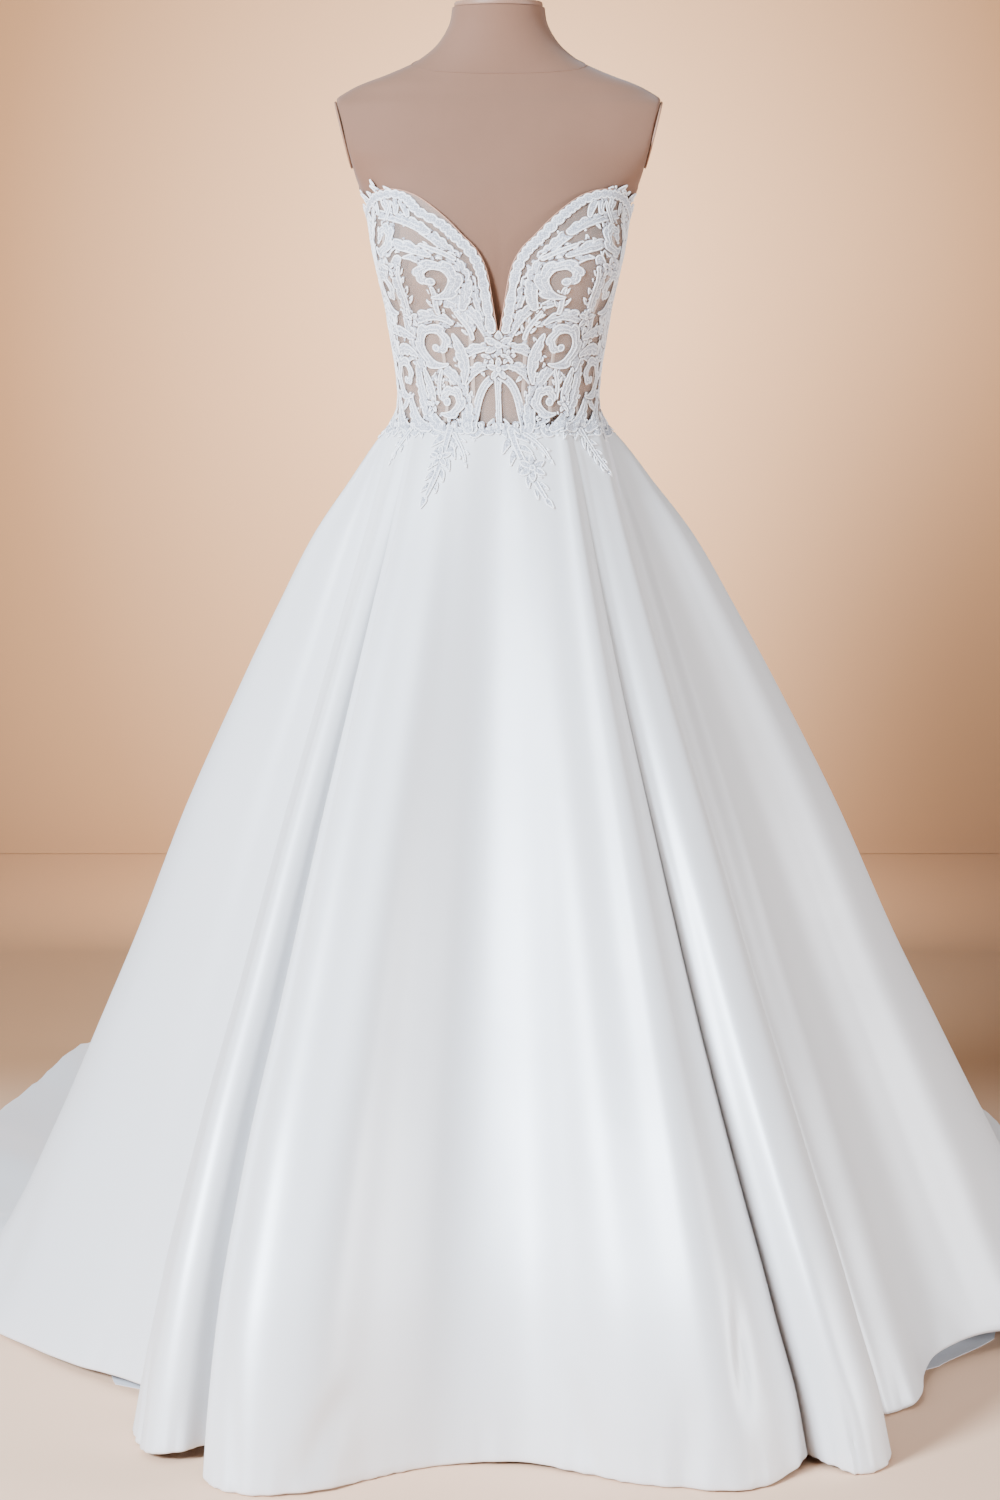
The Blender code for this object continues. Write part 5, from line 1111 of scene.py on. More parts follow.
def bud(middle, half):
    """The stroke of a raised round dot."""
    return DOT, middle + [[-0.05, 0], [0.05, 0]], np.full(2, half)


SWAG_ENDS, SWAG_WIDTHS = 3, (6, 7.5, 6)  # mm above the seam, and across
DOWN_LONG, DOWN_WIDE, UP_LONG, UP_WIDE, SWAG_BUD = 13, 7.5, 15, 7.0, 2.6  # mm, of the leaves and the bud


def waist_swags(low, high, side):
    """Scallops that hang over the waist seam, with a leaf and a bud where two of them meet."""
    strokes = []
    for k in range(math.ceil((high - low) / SWAG_WIDE)):
        x = low + k * SWAG_WIDE
        low_y = -SWAG_DROP - 3 * math.sin(2.4 * k + side)
        last = x + SWAG_WIDE
        corners = (x - 1, SWAG_ENDS, x + 3, low_y, last - 3, low_y, last + 1, SWAG_ENDS)
        strokes.append(ribbon(named_rows(RIBBON, [corners + SWAG_WIDTHS])[0], side, SWAG_STEPS))
        down = leaned(np.array([0.0, -1.0]), 0.5 * math.sin(1.7 * k + 2 * side))
        length = DOWN_LONG + 5 * math.sin(1.3 * k + side)
        strokes.append(leaf(np.array([x * side, 1.0]), down, 0.6 * math.sin(3.1 * k), length, DOWN_WIDE))
        up = leaned(np.array([0.0, 1.0]), 0.6 * math.sin(2.1 * k + side))
        length = UP_LONG + 4 * math.sin(2.7 * k)
        root = np.array([(x + SWAG_WIDE / 2) * side, -3.0])
        strokes.append(leaf(root, up, 0.5 * math.sin(k), length, UP_WIDE))
        strokes.append(bud(np.array([x * side, 1.5]), SWAG_BUD))
    return strokes


CURL_IN, CURL_IN_POWER = 0.8, 1.15  # how a curl closes in on its middle
CURL_LOBES, CURL_DEEP = 0.24, 1.25  # lobes for each mm of radius, and their share of the half width
CURL_BUD, CURL_LEAFED = 0.62, 0.62  # the bud's half width over the ribbon's, and how far round leaves grow


def scroll(row, side):
    """Strokes for a curl of ribbon with a round bud at its inner end and leaves along its back."""

    def curl_at(t):
        turn = np.radians(row["from"] + row["sweep"] * t)
        out = np.stack([side * np.sin(turn), np.cos(turn)], axis=-1)
        radius = row["radius"] * (1 - CURL_IN * t**CURL_IN_POWER)
        return out, np.array([row["x"] * side, row["y"]]) + out * radius[..., None]

    t = np.linspace(0, 1, CURL_STEPS + 1)
    line = curl_at(t)[1]
    outward = side * math.copysign(1, row["sweep"])
    half = ((1 - t) * row["first"] + t * row["last"]) / 2 * np.interp(t, (0, 0.16), (0.25, 1))
    strokes = [(CURL, *lobed(line, half, round(row["radius"] * CURL_LOBES + 1), CURL_DEEP, outward))]
    strokes.append(bud(line[-1], row["last"] * CURL_BUD))
    for k in range(row["leaves"]):
        t = np.array([(k + 0.55) / row["leaves"] * CURL_LEAFED])
        out, at = (values[0] for values in curl_at(t))
        along = np.array([out[1], -out[0]]) * outward
        length = row["radius"] * (0.95 - 0.25 * t[0]) * (1.15 if k % 2 else 0.9)
        corners = np.array([at + (out * a + along * b) * length for a, b in CURL_LEAF])
        place = between(range(4), 5)
        line = np.stack([np.interp(place, range(4), corners[:, n]) for n in (0, 1)], axis=-1)
        half = np.interp(place, range(4), (*(row["first"] * width for width in CURL_WIDTHS), CURL_TIP))
        strokes.append((LEAF, line, half))
    return strokes


def flower(row, side):
    """Strokes for the petals, from the middle out, and a raised eye."""
    middle = np.array([row["x"] * side, row["y"]], float)
    strokes = []
    for k in range(row["petals"]):
        turn = 2 * math.pi * k / row["petals"]
        out = np.array([math.sin(turn), math.cos(turn)]) * row["size"]
        share = np.linspace(0, 1, 9)
        half = row["size"] * np.interp(share, PETAL_ALONG, PETAL_WIDTHS)
        strokes.append((PETAL, middle + out * share[:, None] * 0.95, half))
    strokes.append(bud(middle, row["size"] * 0.22))
    return strokes


def border(first, last, side):
    """The scalloped edging, which follows the neckline."""
    degrees = np.linspace(first, last, BORDER_STEPS + 1)
    across = np.radians(degrees) * LACE_RADIUS * 1000 * side
    edge = np.stack([across, (neckline_at(degrees) - WAIST_Z) * 1000], axis=-1)
    along = unit(np.gradient(edge, axis=0)) * side
    inward = np.stack([along[:, 1], -along[:, 0]], axis=-1)
    run = np.concatenate([[0], np.cumsum(np.linalg.norm(np.diff(edge, axis=0), axis=1))])
    uneven = run + UNEVEN * np.sin(run * UNEVEN_EVERY + side)
    half = BORDER_WIDTH / 2 - BORDER_THIN + SCALLOP_DEEP * np.abs(np.sin(math.pi * uneven / SCALLOP))
    bare = BARE_NET * (side < 0) * np.exp(-(((degrees - BARE_MIDDLE) / BARE_SPREAD) ** 2))
    return EDGING, edge + inward * (BORDER_INSET + BORDER_WIDTH / 2 + bare)[:, None], half


def depth_in(points, line, half):
    """How far points lie inside a stroke, in mm."""
    best = np.full(points.shape[:-1], OUTSIDE)
    for a, b, half_a, half_b in zip(line, line[1:], half, half[1:]):
        along = b - a
        share = np.clip(((points - a) @ along) / max(along @ along, 1e-9), 0, 1)
        away = np.linalg.norm(points - a - share[..., None] * along, axis=-1)
        best = np.maximum(best, half_a + share * (half_b - half_a) - away)
    return best


def slit_at(x, y):
    """How wide the slit round a stroke is here, in mm. Below nought it is joined to what it lies over."""
    wave = np.sin(0.42 * x + 1.3 * np.sin(0.23 * y)) * np.sin(0.37 * y + 1.1 * np.sin(0.19 * x))
    return SLIT * np.minimum(1, 1.7 - 3.5 * np.abs(wave))


def chart_field(strokes, low, high):
    """How far inside the strokes each place of the chart's grid is, between two distances from the front."""
    ends = np.concatenate([line for _, line, _ in strokes])
    (x0, y0), (x1, y1) = ends.min(axis=0) - CHART_MARGIN, ends.max(axis=0) + CHART_MARGIN
    xs = np.arange(max(low, x0) - MARGIN_BEFORE, min(high, x1) + MARGIN_AFTER, CHART_STEP)
    ys = np.arange(y0, y1, CHART_STEP)
    field = np.full((len(ys), len(xs)), OUTSIDE)
    slits = slit_at(xs[None, :], ys[:, None])
    for level, line, half in strokes:
        reach = half.max() + STROKE_REACH
        (x0, y0), (x1, y1) = line.min(axis=0) - reach, line.max(axis=0) + reach
        i0, i1 = np.searchsorted(xs, (x0, x1))
        j0, j1 = np.searchsorted(ys, (y0, y1))
        if i0 == i1 or j0 == j1:
            continue
        best = np.full((j1 - j0, i1 - i0), OUTSIDE)
        for n in range(len(line) - 1):
            step, step_half = line[n : n + 2], half[n : n + 2]
            (x0, y0), (x1, y1) = step.min(axis=0) - reach, step.max(axis=0) + reach
            a0, a1 = np.clip(np.searchsorted(xs, (x0, x1)), i0, i1)
            b0, b1 = np.clip(np.searchsorted(ys, (y0, y1)), j0, j1)
            if a0 < a1 and b0 < b1:
                here = np.stack(np.meshgrid(xs[a0:a1], ys[b0:b1]), axis=-1)
                window = (slice(b0 - j0, b1 - j0), slice(a0 - i0, a1 - i0))
                best[window] = np.maximum(best[window], depth_in(here, step, step_half))
        under = field[j0:j1, i0:i1]
        if level != DOT:
            under = np.minimum(under, -best - slits[j0:j1, i0:i1])
        field[j0:j1, i0:i1] = np.maximum(best, under)
    return xs, ys, np.minimum(field, np.minimum(xs - low, high - xs)[None, :])


# For each way that a cell's corners lie inside (1 low left, 2 low right, 4 high right, 8 high left): which
# side the outline comes in by and which it leaves by, with the inside on its left.
CELL_WAYS = {
    1: ["BL"], 2: ["RB"], 3: ["RL"], 4: ["TR"], 5: ["BL", "TR"], 6: ["TB"], 7: ["TL"],
    8: ["LT"], 9: ["BT"], 10: ["RB", "LT"], 11: ["RT"], 12: ["LR"], 13: ["BR"], 14: ["LB"],
}


def outlines(xs, ys, field):
    """The closed lines where the field is nought, with the inside on the left."""
    inside = (field > 0).astype(int)
    codes = inside[:-1, :-1] + 2 * inside[:-1, 1:] + 4 * inside[1:, 1:] + 8 * inside[1:, :-1]
    onward = {}
    for j, i in zip(*(places.tolist() for places in np.nonzero((codes > 0) & (codes < 15)))):
        sides = {"B": (j, i, 0), "T": (j + 1, i, 0), "L": (j, i, 1), "R": (j, i + 1, 1)}
        for way in CELL_WAYS[int(codes[j, i])]:
            onward[sides[way[0]]] = sides[way[1]]
    loops = []
    while onward:
        start = side = next(iter(onward))
        loop = []
        while side in onward:
            loop.append(side)
            side = onward.pop(side)
        j, i, upright = np.array(loop).T
        here, there = field[j, i], field[j + upright, i + 1 - upright]
        share = here / (here - there) * CHART_STEP
        loops.append(np.stack([xs[i] + share * (1 - upright), ys[j] + share * upright], axis=-1))
    return loops


def area_in(loop):
    """The area inside a closed line, below nought where its inside is on the right."""
    onward = np.roll(loop, -1, axis=0)
    return (loop[:, 0] * onward[:, 1] - loop[:, 1] * onward[:, 0]).sum() / 2


def simplified(loop, stray, longest):
    """The loop with fewer points, none of its edges over the longest."""

    def thin(part):
        if len(part) < 3:
            return part
        along = part[-1] - part[0]
        length = np.hypot(*along)
        ahead = part - part[0]
        if length > 1e-6:
            away = np.abs(along[0] * ahead[:, 1] - along[1] * ahead[:, 0]) / length
        else:
            away = np.hypot(*ahead.T)
        most = int(away[1:-1].argmax()) + 1
        if away[most] <= stray:
            return part[[0, -1]]
        return np.concatenate([thin(part[: most + 1])[:-1], thin(part[most:])])

    far = int(np.hypot(*(loop - loop[0]).T).argmax())
    kept = np.concatenate([thin(loop[: far + 1])[:-1], thin(np.concatenate([loop[far:], loop[:1]]))[:-1]])
    made = []
    for a, b in zip(kept, np.roll(kept, -1, axis=0)):
        pieces = max(1, math.ceil(np.hypot(*(b - a)) / longest))
        made += [a + (b - a) * k / pieces for k in range(pieces)]
    return np.array(made)


def cut_sheet(xs, ys, field):
    """A flat mesh of the field's inside: (points, triangles). What an odd number of loops holds is cloth."""
    loops = outlines(xs, ys, field)
    areas = [area_in(loop) for loop in loops]
    corners, faces = [], []
    for loop in [loop for loop, area in zip(loops, areas) if area < -SMALLEST_GAP or area > SMALLEST_PATCH]:
        loop = simplified(loop, STRAYS, LONGEST_EDGE)
        if area_in(loop) < 0:
            loop = loop[::-1]
        faces.append(list(range(len(corners), len(corners) + len(loop))))
        corners += loop.tolist()
    spacing = round(INNER_STEP / CHART_STEP)
    for j in range(2, len(ys), spacing):
        for i in range(2, len(xs), spacing):
            if field[j, i] > INNER_CLEAR:
                corners.append([xs[i], ys[j]])
    meshed = delaunay_2d_cdt([Vector(corner) for corner in corners], [], faces, 0, 0.001, True)
    points, _, triangles, _, _, sources = meshed
    flat = np.array([tuple(point) for point in points])
    return flat, np.array([list(triangle) for triangle, inside in zip(triangles, sources) if len(inside) % 2])


# The smooth skirt under the waist seam, without its tucked edges, at every degree from the back right round.
SKIN_SHARES, SKIN_DEGREES = np.linspace(0, 0.12, 31), np.arange(-180.0, 181.0)
skin_folds = FRONT_PANEL[1:-1] + REST_OF_SKIRT[3:-3]
skin_columns = {key: np.array([fold[key] for fold in skin_folds], float)[None, :] for key in skin_folds[0]}
skin_places = fold_place(skin_columns, SKIN_SHARES[:, None], FRONT_LIFT)
skin_waists = skin_columns["waist"][0]
skin_waists = np.append(np.where(skin_waists > -180, skin_waists, skin_waists + 360), -180.0)
skin_places = np.concatenate([skin_places, skin_places[:, [int(np.argmax(skin_waists))]]], axis=1)
by_waist = np.argsort(skin_waists)
skirt_skin = np.zeros((len(SKIN_SHARES), len(SKIN_DEGREES), 3))
for r, line in enumerate(skin_places[:, by_waist]):
    rows = named_rows("waist x y z", [(waist, *point) for waist, point in zip(skin_waists[by_waist], line)])
    for n, axis in enumerate("xyz"):
        skirt_skin[r, :, n] = table_value(rows, "waist", axis, SKIN_DEGREES)
skirt_out = grid_normals(skirt_skin)

corners, polygons = [], []
for panel in satin_pieces:
    polygons += [[n + len(corners) for n in face.vertices] for face in panel.data.polygons]
    corners += [point.co.copy() for point in panel.data.vertices]
satin_seen = BVHTree.FromPolygons(corners, polygons)
RAY_REACH = 0.05  # how far off the smooth skirt the creased satin is looked for
STEP_ROUND, STEP_UP = 0.01, 0.002  # the steps that find which way the net faces


def on_satin(across, up):
    """Where a charted point falls on the satin below the waist: (points, outward directions)."""
    degrees = np.degrees(across / 1000 / LACE_RADIUS) + 180
    share = np.clip(-up / 1000 / WAIST_Z, 0.0004, SKIN_SHARES[-1] * 0.999) / (SKIN_SHARES[1] - SKIN_SHARES[0])
    r, c = share.astype(int), np.clip(degrees.astype(int), 0, 359)
    a, b = (share - r)[:, None], (degrees - c)[:, None]

    def mixed(grid):
        upper = grid[r, c] * (1 - b) + grid[r, c + 1] * b
        return upper * (1 - a) + (grid[r + 1, c] * (1 - b) + grid[r + 1, c + 1] * b) * a

    skin_point, out = mixed(skirt_skin), unit(mixed(skirt_out))
    found = skin_point.copy()
    for n, (point, away) in enumerate(zip(skin_point, out)):
        hit = satin_seen.ray_cast(Vector(point + away * RAY_REACH), Vector(-away), 2 * RAY_REACH)[0]
        if hit:
            found[n] = hit
    return found, out


def on_net(across, up):
    """Where a charted point falls on the net: (points, outward directions)."""
    angle, z = across / 1000 / LACE_RADIUS, WAIST_Z + up / 1000
    beside = bodice_at(angle + STEP_ROUND, z) - bodice_at(angle - STEP_ROUND, z)
    below = bodice_at(angle, z - STEP_UP) - bodice_at(angle, z + STEP_UP)
    return bodice_at(angle, z), unit(np.cross(below, beside))


WAIST_RAMP, RAMP_POWER = 20.0, 1.5  # mm over which the lace comes down from the satin's waist onto the net


def laid(chart, out):
    """Charted points in mm, laid on the net or on the satin and moved out: (points, outward directions)."""
    across, up = np.asarray(chart, float).T
    out = np.broadcast_to(np.asarray(out, float), across.shape)
    points, away = np.zeros((len(across), 3)), np.zeros((len(across), 3))
    high = up >= 0
    points[high], away[high] = on_net(across[high], up[high])
    near = high & (up < WAIST_RAMP)
    seam, _ = on_satin(across[near], 0 * up[near] - 0.5)
    seam_net, net_out = on_net(across[near], 0 * up[near])
    step = np.maximum(((seam - seam_net) * net_out).sum(axis=1), 0)
    lift = np.full(len(across), LACE_LIFT)
    lift[near] += step * (1 - up[near] / WAIST_RAMP) ** RAMP_POWER
    points[~high], away[~high] = on_satin(across[~high], up[~high])
    return points + away * (lift + out)[:, None], away


stitched, tree, shader, spot = blank_material(
    "dotted lace stitching", (0.57, 0.595, 0.65), 0.7, on_cloth=True, Sheen_Weight=0.2
)
# The stitching's dots: a painted highlight in the middle of each, and painted shade in the stitching between
# them.
dots = add_node(tree, "ShaderNodeTexVoronoi", {"Vector": spot, "Scale": 560.0, "Randomness": 0.55})
from_dot = dots.outputs["Distance"]
painted_dot_highlight, grey, painted_shade_between_dots = (0.80, 0.81, 0.85), (0.56, 0.58, 0.64), (0.33, 0.34, 0.39)
tinted(tree, shader, from_dot, [(0.12, painted_dot_highlight), (0.42, grey), (0.62, painted_shade_between_dots)])
threads = noise(tree, spot, 1, 2, (2200, 700, 1))
roughened(tree, shader, (from_dot, 0.00045), (threads, 0.0002))

cording, tree, shader, spot = blank_material("white silk cord", (0.95, 0.95, 0.96), 0.45, Sheen_Weight=0.3)
mottled(tree, shader, spot, 300, (0.93, 0.93, 0.945), (0.97, 0.97, 0.975))
roughened(tree, shader, (noise(tree, spot, 1500, 2), 0.00025))

CORD, VEIN, CORD_SIT = 0.00092, 0.00050, 0.6  # radii in metres, and mm from a stroke's edge to its cord
CORD_STEP, VEIN_STEP = 1.7, 2.2  # mm, between their points
CORD_RISE, CORD_FLAT, VEIN_FLAT = 0.0002, 0.85, 0.9  # off the stitching, and their height over their width
VEINED, THINNEST, EDGE_CLEAR = 4, 0.3, 0.5  # mm: strokes this wide have veins
SHORTEST_RUN = 4  # points


def edge_of(line, half):
    """The closed outline of a stroke, with round ends."""
    along, beside = ways_of(line)
    half = np.maximum(half - CORD_SIT, THINNEST)

    def rounded(n, way):
        turns = np.linspace(0, math.pi, 9)[1:-1, None]
        return line[n] + (beside[n] * np.cos(turns) + along[n] * np.sin(turns)) * half[n] * way

    left, right = line + beside * half[:, None], line - beside * half[:, None]
    return np.concatenate([left, rounded(-1, 1), right[::-1], rounded(0, -1), left[:1]])


def evenly(path, spacing):
    """The path with points at an even spacing."""
    run = np.concatenate([[0], np.cumsum(np.hypot(*np.diff(path, axis=0).T))])
    count = max(3, round(run[-1] / spacing) + 1)
    at = np.linspace(0, run[-1], count)
    return np.stack([np.interp(at, run, path[:, n]) for n in (0, 1)], axis=-1)


def seen_runs(path, number, strokes, low, high):
    """The stretches of a stroke's line that no stroke above it covers."""
    seen = (path[:, 0] > low + EDGE_CLEAR) & (path[:, 0] < high - EDGE_CLEAR)
    box_low, box_high = path.min(axis=0), path.max(axis=0)
    clear = np.maximum(slit_at(*path.T), -0.25)
    for _, line, half in strokes[number + 1 :]:
        reach = half.max() + SLIT
        if (line.min(axis=0) - reach < box_high).all() and (line.max(axis=0) + reach > box_low).all():
            seen &= depth_in(path, line, half) < -clear
    ends = np.nonzero(np.diff(np.concatenate([[0], seen.astype(int), [0]])))[0].reshape(-1, 2)
    return [path[a:b] for a, b in ends if b - a >= SHORTEST_RUN]


def lace_piece(name, strokes, low, high):
    """A cut-out panel of stitching with its cords, kept between two distances from centre front."""
    strokes = sorted(strokes, key=lambda stroke: stroke[0])
    xs, ys, field = chart_field(strokes, low, high)
    flat, triangles = cut_sheet(xs, ys, field)
    used, triangles = np.unique(triangles, return_inverse=True)
    flat, triangles = flat[used], triangles.reshape(-1, 3)
    i = np.clip(((flat[:, 0] - xs[0]) / CHART_STEP).round().astype(int), 0, len(xs) - 1)
    j = np.clip(((flat[:, 1] - ys[0]) / CHART_STEP).round().astype(int), 0, len(ys) - 1)
    dome = LACE_DOME * np.clip(field[j, i] / 2, 0, 1)
    points = np.concatenate([laid(flat, LACE_WALL + dome)[0], laid(flat, 0)[0]])
    count = len(flat)
    pairs = np.concatenate([triangles[:, [0, 1]], triangles[:, [1, 2]], triangles[:, [2, 0]]])
    there = set(map(tuple, pairs.tolist()))
    rim = [(b, a, a + count, b + count) for a, b in there if (b, a) not in there]
    faces = triangles.tolist() + (triangles[:, ::-1] + count).tolist() + sorted(rim)
    cut = np.zeros((2 * count, 3))
    cut[:, :2] = np.concatenate([flat, flat]) / 1000
    sheet = placed(f"{name}_stitching", points, faces, stitched, cut=cut)
    runs = []
    for number, (level, line, half) in enumerate(strokes):
        for path in seen_runs(evenly(edge_of(line, half), CORD_STEP), number, strokes, low, high):
            runs.append((*laid(path, LACE_WALL + CORD_RISE), CORD, CORD_FLAT))
        if level in (VINE, CURL) and half.max() > VEINED:
            inner = evenly(line[len(line) // 8 : -max(1, len(line) // 8)], VEIN_STEP)
            for path in seen_runs(inner, number, strokes, low, high):
                runs.append((*laid(path, LACE_WALL + LACE_DOME), VEIN, VEIN_FLAT))
    cords = settled(corded(f"{name}_cords", runs, cording))
    settled(sheet, name)


def drawn(charts, side):
    """The strokes of some charts on one side."""
    strokes = []
    for draw, rows in charts:
        for row in rows:
            if row.get("side", 0) in (0, side):
                strokes += draw(row, side)
    return strokes


FRONT_CHARTS = ((leafed, FRONT_RIBBONS), (scroll, FRONT_SCROLLS), (frond, FRONT_FRONDS), (flower, FLOWERS))
BACK_CHARTS = ((leafed, BACK_RIBBONS), (scroll, BACK_SCROLLS), (frond, BACK_FRONDS))
FRONT_HALF, BACK_FROM, BACK_TO = 207.0, 208.2, 387.0  # mm from centre front, of the panels' edges
FRONT_SWAGS, BACK_SWAGS = (4, 200), (214, 374)  # mm from centre front, from and to
front = []
for side in (-1, 1):
    front.append(border(*BORDER_FRONT, side))
    front += waist_swags(*FRONT_SWAGS, side) + drawn(FRONT_CHARTS, side)
lace_piece("lace_front", front, -FRONT_HALF, FRONT_HALF)
for side, word in SIDES:
    back = [border(*BORDER_BACK, side)] + waist_swags(*BACK_SWAGS, side) + drawn(BACK_CHARTS, side)
    low, high = sorted((BACK_FROM * side, BACK_TO * side))
    lace_piece(f"lace_back_{word}", back, low, high)


# --- centre-back zip ---------------------------------------------------------------------------------------
# A concealed nylon coil between narrow rolled placket edges, from the top of the back to below the waist. The
# enamelled slider sits at the top and its pull tab hangs from the slider's bridge.

enamel, tree, shader, spot = blank_material(
    "white zip enamel", (0.80, 0.80, 0.82), 0.3, Metallic=0.1, Coat_Weight=0.4
)
mottled(tree, shader, spot, 500, (0.78, 0.78, 0.80), (0.83, 0.83, 0.85))
roughened(tree, shader, (noise(tree, spot, 2500, 2), 0.00002))
for name in ("zip_slider", "zip_pull"):
    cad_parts[name].data.materials.clear()
    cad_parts[name].data.materials.append(enamel)

ZIP_TOP_Z, COIL_PITCH, COIL_WIRE, COIL_STEPS = 1.2205, 0.0013, 0.00032, 7
COIL_RADIUS, COIL_WIDE, COIL_DEEP = 0.0009, 1.3, 0.6  # and its width and depth over that
turns = np.arange(0, (ZIP_TOP_Z - WAIST_Z) / COIL_PITCH, 1 / COIL_STEPS)
z = WAIST_Z + turns * COIL_PITCH
turn = 2 * math.pi * turns
wide, deep = COIL_RADIUS * COIL_WIDE * np.cos(turn), COIL_DEEP * COIL_RADIUS * np.sin(turn)
wound = np.stack([wide, deep, 0 * z], axis=-1)
coil = bodice_at(math.pi + 0 * z, z, 0.0002) + wound
outward = np.tile([0.0, 1.0, 0.0], (len(z), 1))
settled(corded("zip_coil", [(coil, outward, COIL_WIRE, 1)], enamel, sides=5))

PLACKET_HALF, PLACKET_OFF = 0.0011, 0.0022  # a rolled edge's half width, and its distance from the middle
PLACKET_LIFT, PLACKET_FLAT, PLACKET_POINTS = 0.0006, 0.7, 60
z = np.linspace(WAIST_Z + 0.001, float(neckline_at(180)) - 0.0005, PLACKET_POINTS)
edge_angle = math.pi - PLACKET_OFF / LACE_RADIUS
runs = [net_run(side * edge_angle + 0 * z, z, PLACKET_LIFT, PLACKET_HALF, PLACKET_FLAT) for side in (-1, 1)]
settled(corded("zip_placket", runs, cording, sides=8))


# --- floor, light and camera ------------------------------------------
# A pale matt floor, with a tan canvas that rises behind the dress from the floor to a wall. A pool of light
# is painted on the canvas round the dress, with painted shadow low on its right. The soft lights are a strong
# one at the front left, weaker ones at the right, overhead and behind the train, and a small one that washes
# the canvas.
# The camera is level, a little above the waist.

FLOOR_COLOUR = (0.78, 0.50, 0.33)
# Canvas colours: the canvas's tan under a painted pool of light (dim, half lit, lit), and a painted shadow.
CANVAS_PAINTED_DIM, CANVAS_PAINTED_HALF_LIT, CANVAS_PAINTED_LIT = (0.20, 0.09, 0.035), (0.46, 0.235, 0.105), (0.90, 0.54, 0.30)
CANVAS_PAINTED_SHADOW = (0.22, 0.11, 0.05, 1)
# Where the painted pool of light is centred on the canvas, and how far it spreads.
PAINTED_POOL_X, PAINTED_POOL_Z, PAINTED_POOL_WIDE, PAINTED_POOL_HIGH = 0.05, 1.30, 2.0, 2.6
CANVAS_HALF = 1.4
CANVAS_FROM, CANVAS_FULL = 0.7, 1.5  # how far back the canvas's colour starts, and where it is full
FADE_OUT, FADE_IN = 0.9, 0.1  # how far its colour fades, outside and inside its edges
PAINTED_SHADOW_X, PAINTED_SHADOW_Z = (0.3, 1.25), (1.5, -0.1)  # from no painted shadow to all of it, to the right and down

floor_and_painted_canvas, tree, shader, spot = blank_material("matt floor and canvas with painted light", FLOOR_COLOUR, 0.9)
# Painted pool of light: the canvas is painted lit round the dress and dimmer out towards its edges.
location = (-PAINTED_POOL_X / PAINTED_POOL_WIDE, 0, -PAINTED_POOL_Z / PAINTED_POOL_HIGH)
scale = (1 / PAINTED_POOL_WIDE, 0, 1 / PAINTED_POOL_HIGH)
around_painted_pool = add_node(tree, "ShaderNodeMapping", {"Vector": spot, "Location": location, "Scale": scale})
pool = add_node(tree, "ShaderNodeTexGradient", {"Vector": around_painted_pool.outputs[0]}, gradient_type="SPHERICAL")
stops = [(0.0, CANVAS_PAINTED_DIM), (0.35, CANVAS_PAINTED_HALF_LIT), (0.8, CANVAS_PAINTED_LIT)]
painted_light_pool = tinted(tree, shader, pool.outputs["Fac"], stops)


def ramped(value, low, high):
    """A socket that goes softly from nought to one as a value goes from low to high."""
    inputs = {"Value": value, "From Min": low, "From Max": high}
    return add_node(tree, "ShaderNodeMapRange", inputs, interpolation_type="SMOOTHSTEP").outputs[0]


def both(first, second):
    """A socket with two values multiplied."""
    return add_node(tree, "ShaderNodeMath", {0: first, 1: second}, operation="MULTIPLY").outputs[0]


# Painted shadow darkens the canvas low on the right. Its colour fades into the floor's in front of it and at
# its sides.
place = add_node(tree, "ShaderNodeSeparateXYZ", {"Vector": spot}).outputs
deep = both(ramped(place["X"], *PAINTED_SHADOW_X), ramped(place["Z"], *PAINTED_SHADOW_Z))
shaded = add_node(tree, "ShaderNodeMixRGB", {"Fac": deep, "Color1": painted_light_pool, "Color2": CANVAS_PAINTED_SHADOW})
across = add_node(tree, "ShaderNodeMath", {0: place["X"]}, operation="ABSOLUTE").outputs[0]
in_width = ramped(across, CANVAS_HALF + FADE_OUT, CANVAS_HALF - FADE_IN)
on_canvas = both(ramped(place["Y"], CANVAS_FROM, CANVAS_FULL), in_width)
inputs = {"Fac": on_canvas, "Color1": (*FLOOR_COLOUR, 1), "Color2": shaded.outputs[0]}
painted = add_node(tree, "ShaderNodeMixRGB", inputs)
tree.links.new(painted.outputs[0], shader.inputs["Base Color"])

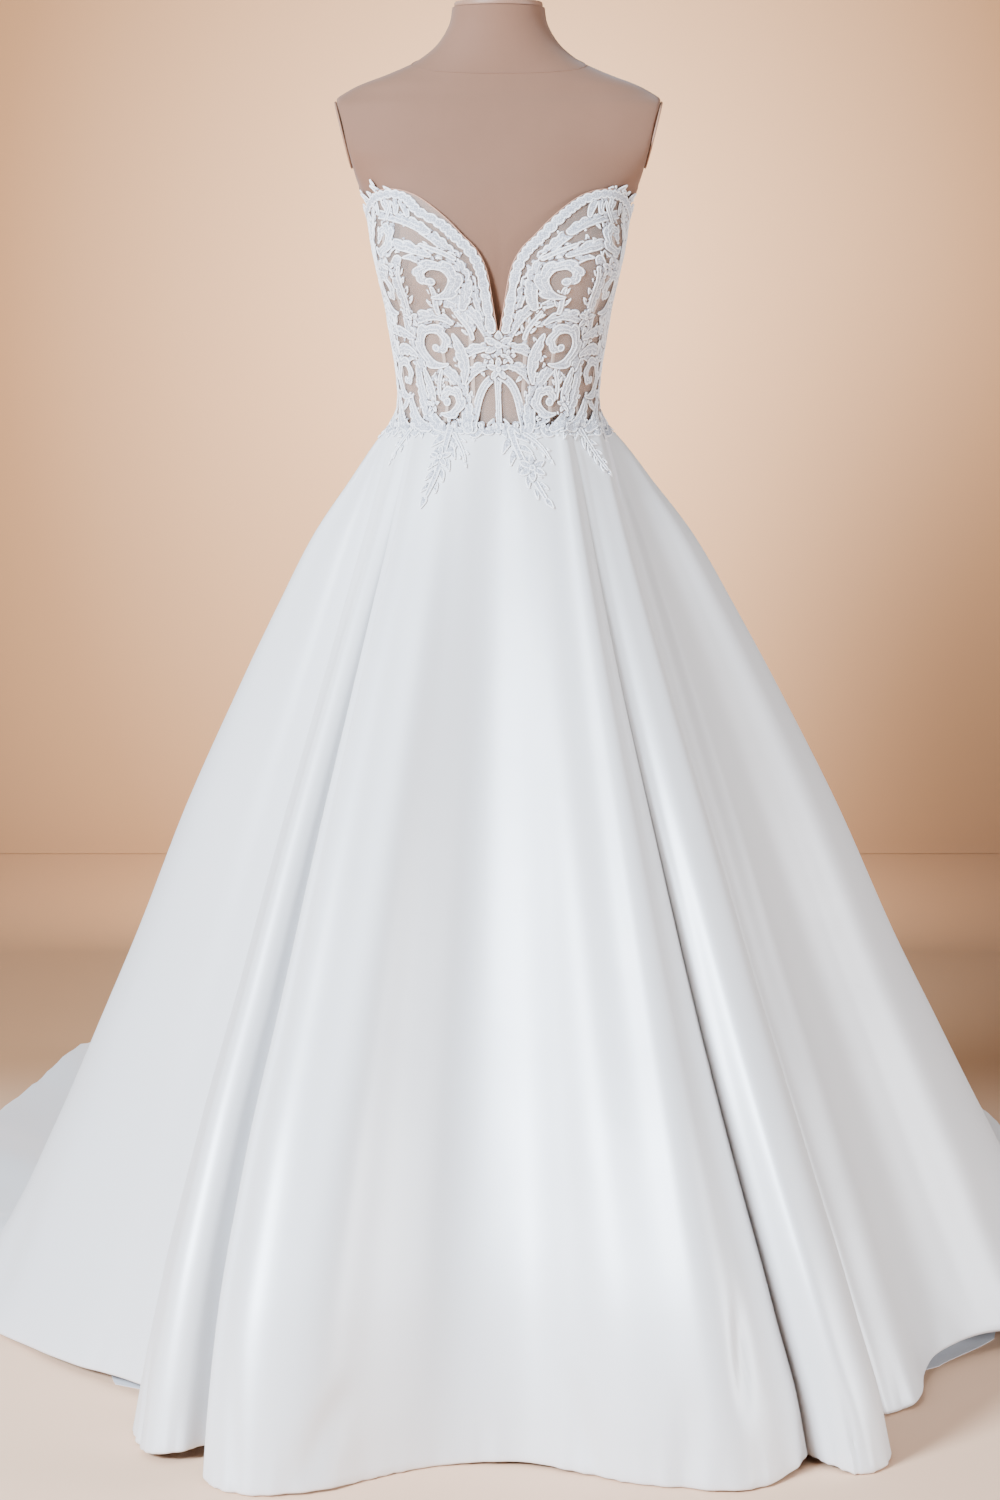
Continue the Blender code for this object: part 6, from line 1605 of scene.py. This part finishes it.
FLOOR_HALF = 24.0
corners = [(x * FLOOR_HALF, y * FLOOR_HALF, 0.0) for x, y in ((-1, -1), (1, -1), (1, 1), (-1, 1))]
floor = placed("studio_floor", corners, [(0, 1, 2, 3)], floor_and_painted_canvas)
SWEEP_Y, SWEEP_RADIUS, SWEEP_STEPS, CANVAS_TOP, CANVAS_LIFT = 3.6, 1.0, 16, 2.2, 0.001
sweep = []
for step in range(SWEEP_STEPS + 1):
    a = math.pi / 2 * step / SWEEP_STEPS
    sweep.append((SWEEP_Y + SWEEP_RADIUS * math.sin(a), CANVAS_LIFT + SWEEP_RADIUS * (1 - math.cos(a))))
sweep.append((SWEEP_Y + SWEEP_RADIUS, CANVAS_TOP))
edges = [(x, y, z) for y, z in sweep for x in (-CANVAS_HALF, CANVAS_HALF)]
strips = [(n, n + 1, n + 3, n + 2) for n in range(0, 2 * len(sweep) - 2, 2)]
backdrop = placed("canvas_backdrop", edges, strips, floor_and_painted_canvas)

LAMPS = named_rows("name place aim size watts colour", [
    ("key", (-3.3, -3.9, 2.7), (0, 0, 0.8), 1.5, 1110, (0.74, 0.86, 1.0)),
    ("fill", (4.6, -1.6, 1.0), (0.6, -0.1, 0.4), 1.6, 250, (0.86, 0.92, 1.0)),
    ("top", (-0.6, -1.2, 4.4), (0, 0, 0.6), 2.4, 70, (0.82, 0.92, 1.0)),
    ("pool", (0.0, 2.3, 1.0), (0.0, 4.6, 1.25), 0.5, 70, (1.0, 0.90, 0.78)),
    ("back", (-4.6, 5.4, 3.2), (0, 0.8, 0.7), 2.2, 160, (0.80, 0.90, 1.0)),
])
for row in LAMPS:
    lamp = bpy.data.lights.new(row["name"], "AREA")
    lamp.shape, lamp.size, lamp.energy, lamp.color = "DISK", row["size"], row["watts"], row["colour"]
    made = bpy.data.objects.new(row["name"], lamp)
    made.location = row["place"]
    made.rotation_euler = (Vector(row["aim"]) - made.location).to_track_quat("-Z", "Y").to_euler()
    bpy.context.scene.collection.objects.link(made)

AIR_COLOUR, AIR_STRENGTH = (1.0, 0.72, 0.52, 1), 0.19
world = bpy.data.worlds.new("studio")
world.use_nodes = True
air = world.node_tree.nodes["Background"]
air.inputs["Color"].default_value = AIR_COLOUR
air.inputs["Strength"].default_value = AIR_STRENGTH
bpy.context.scene.world = world

CAMERA_BACK, CAMERA_HIGH, LENS, SHIFT_X, SHIFT_Y = 4.2, 1.2, 84.86, 0.001, -0.2933
lens = bpy.data.cameras.new("camera")
lens.sensor_fit, lens.sensor_height, lens.lens = "VERTICAL", 36.0, LENS
lens.shift_x, lens.shift_y = SHIFT_X, SHIFT_Y
camera = bpy.data.objects.new("camera", lens)
camera.location = (0, -CAMERA_BACK, CAMERA_HIGH)
camera.rotation_euler = (math.pi / 2, 0, 0)
bpy.context.scene.collection.objects.link(camera)
bpy.context.scene.camera = camera
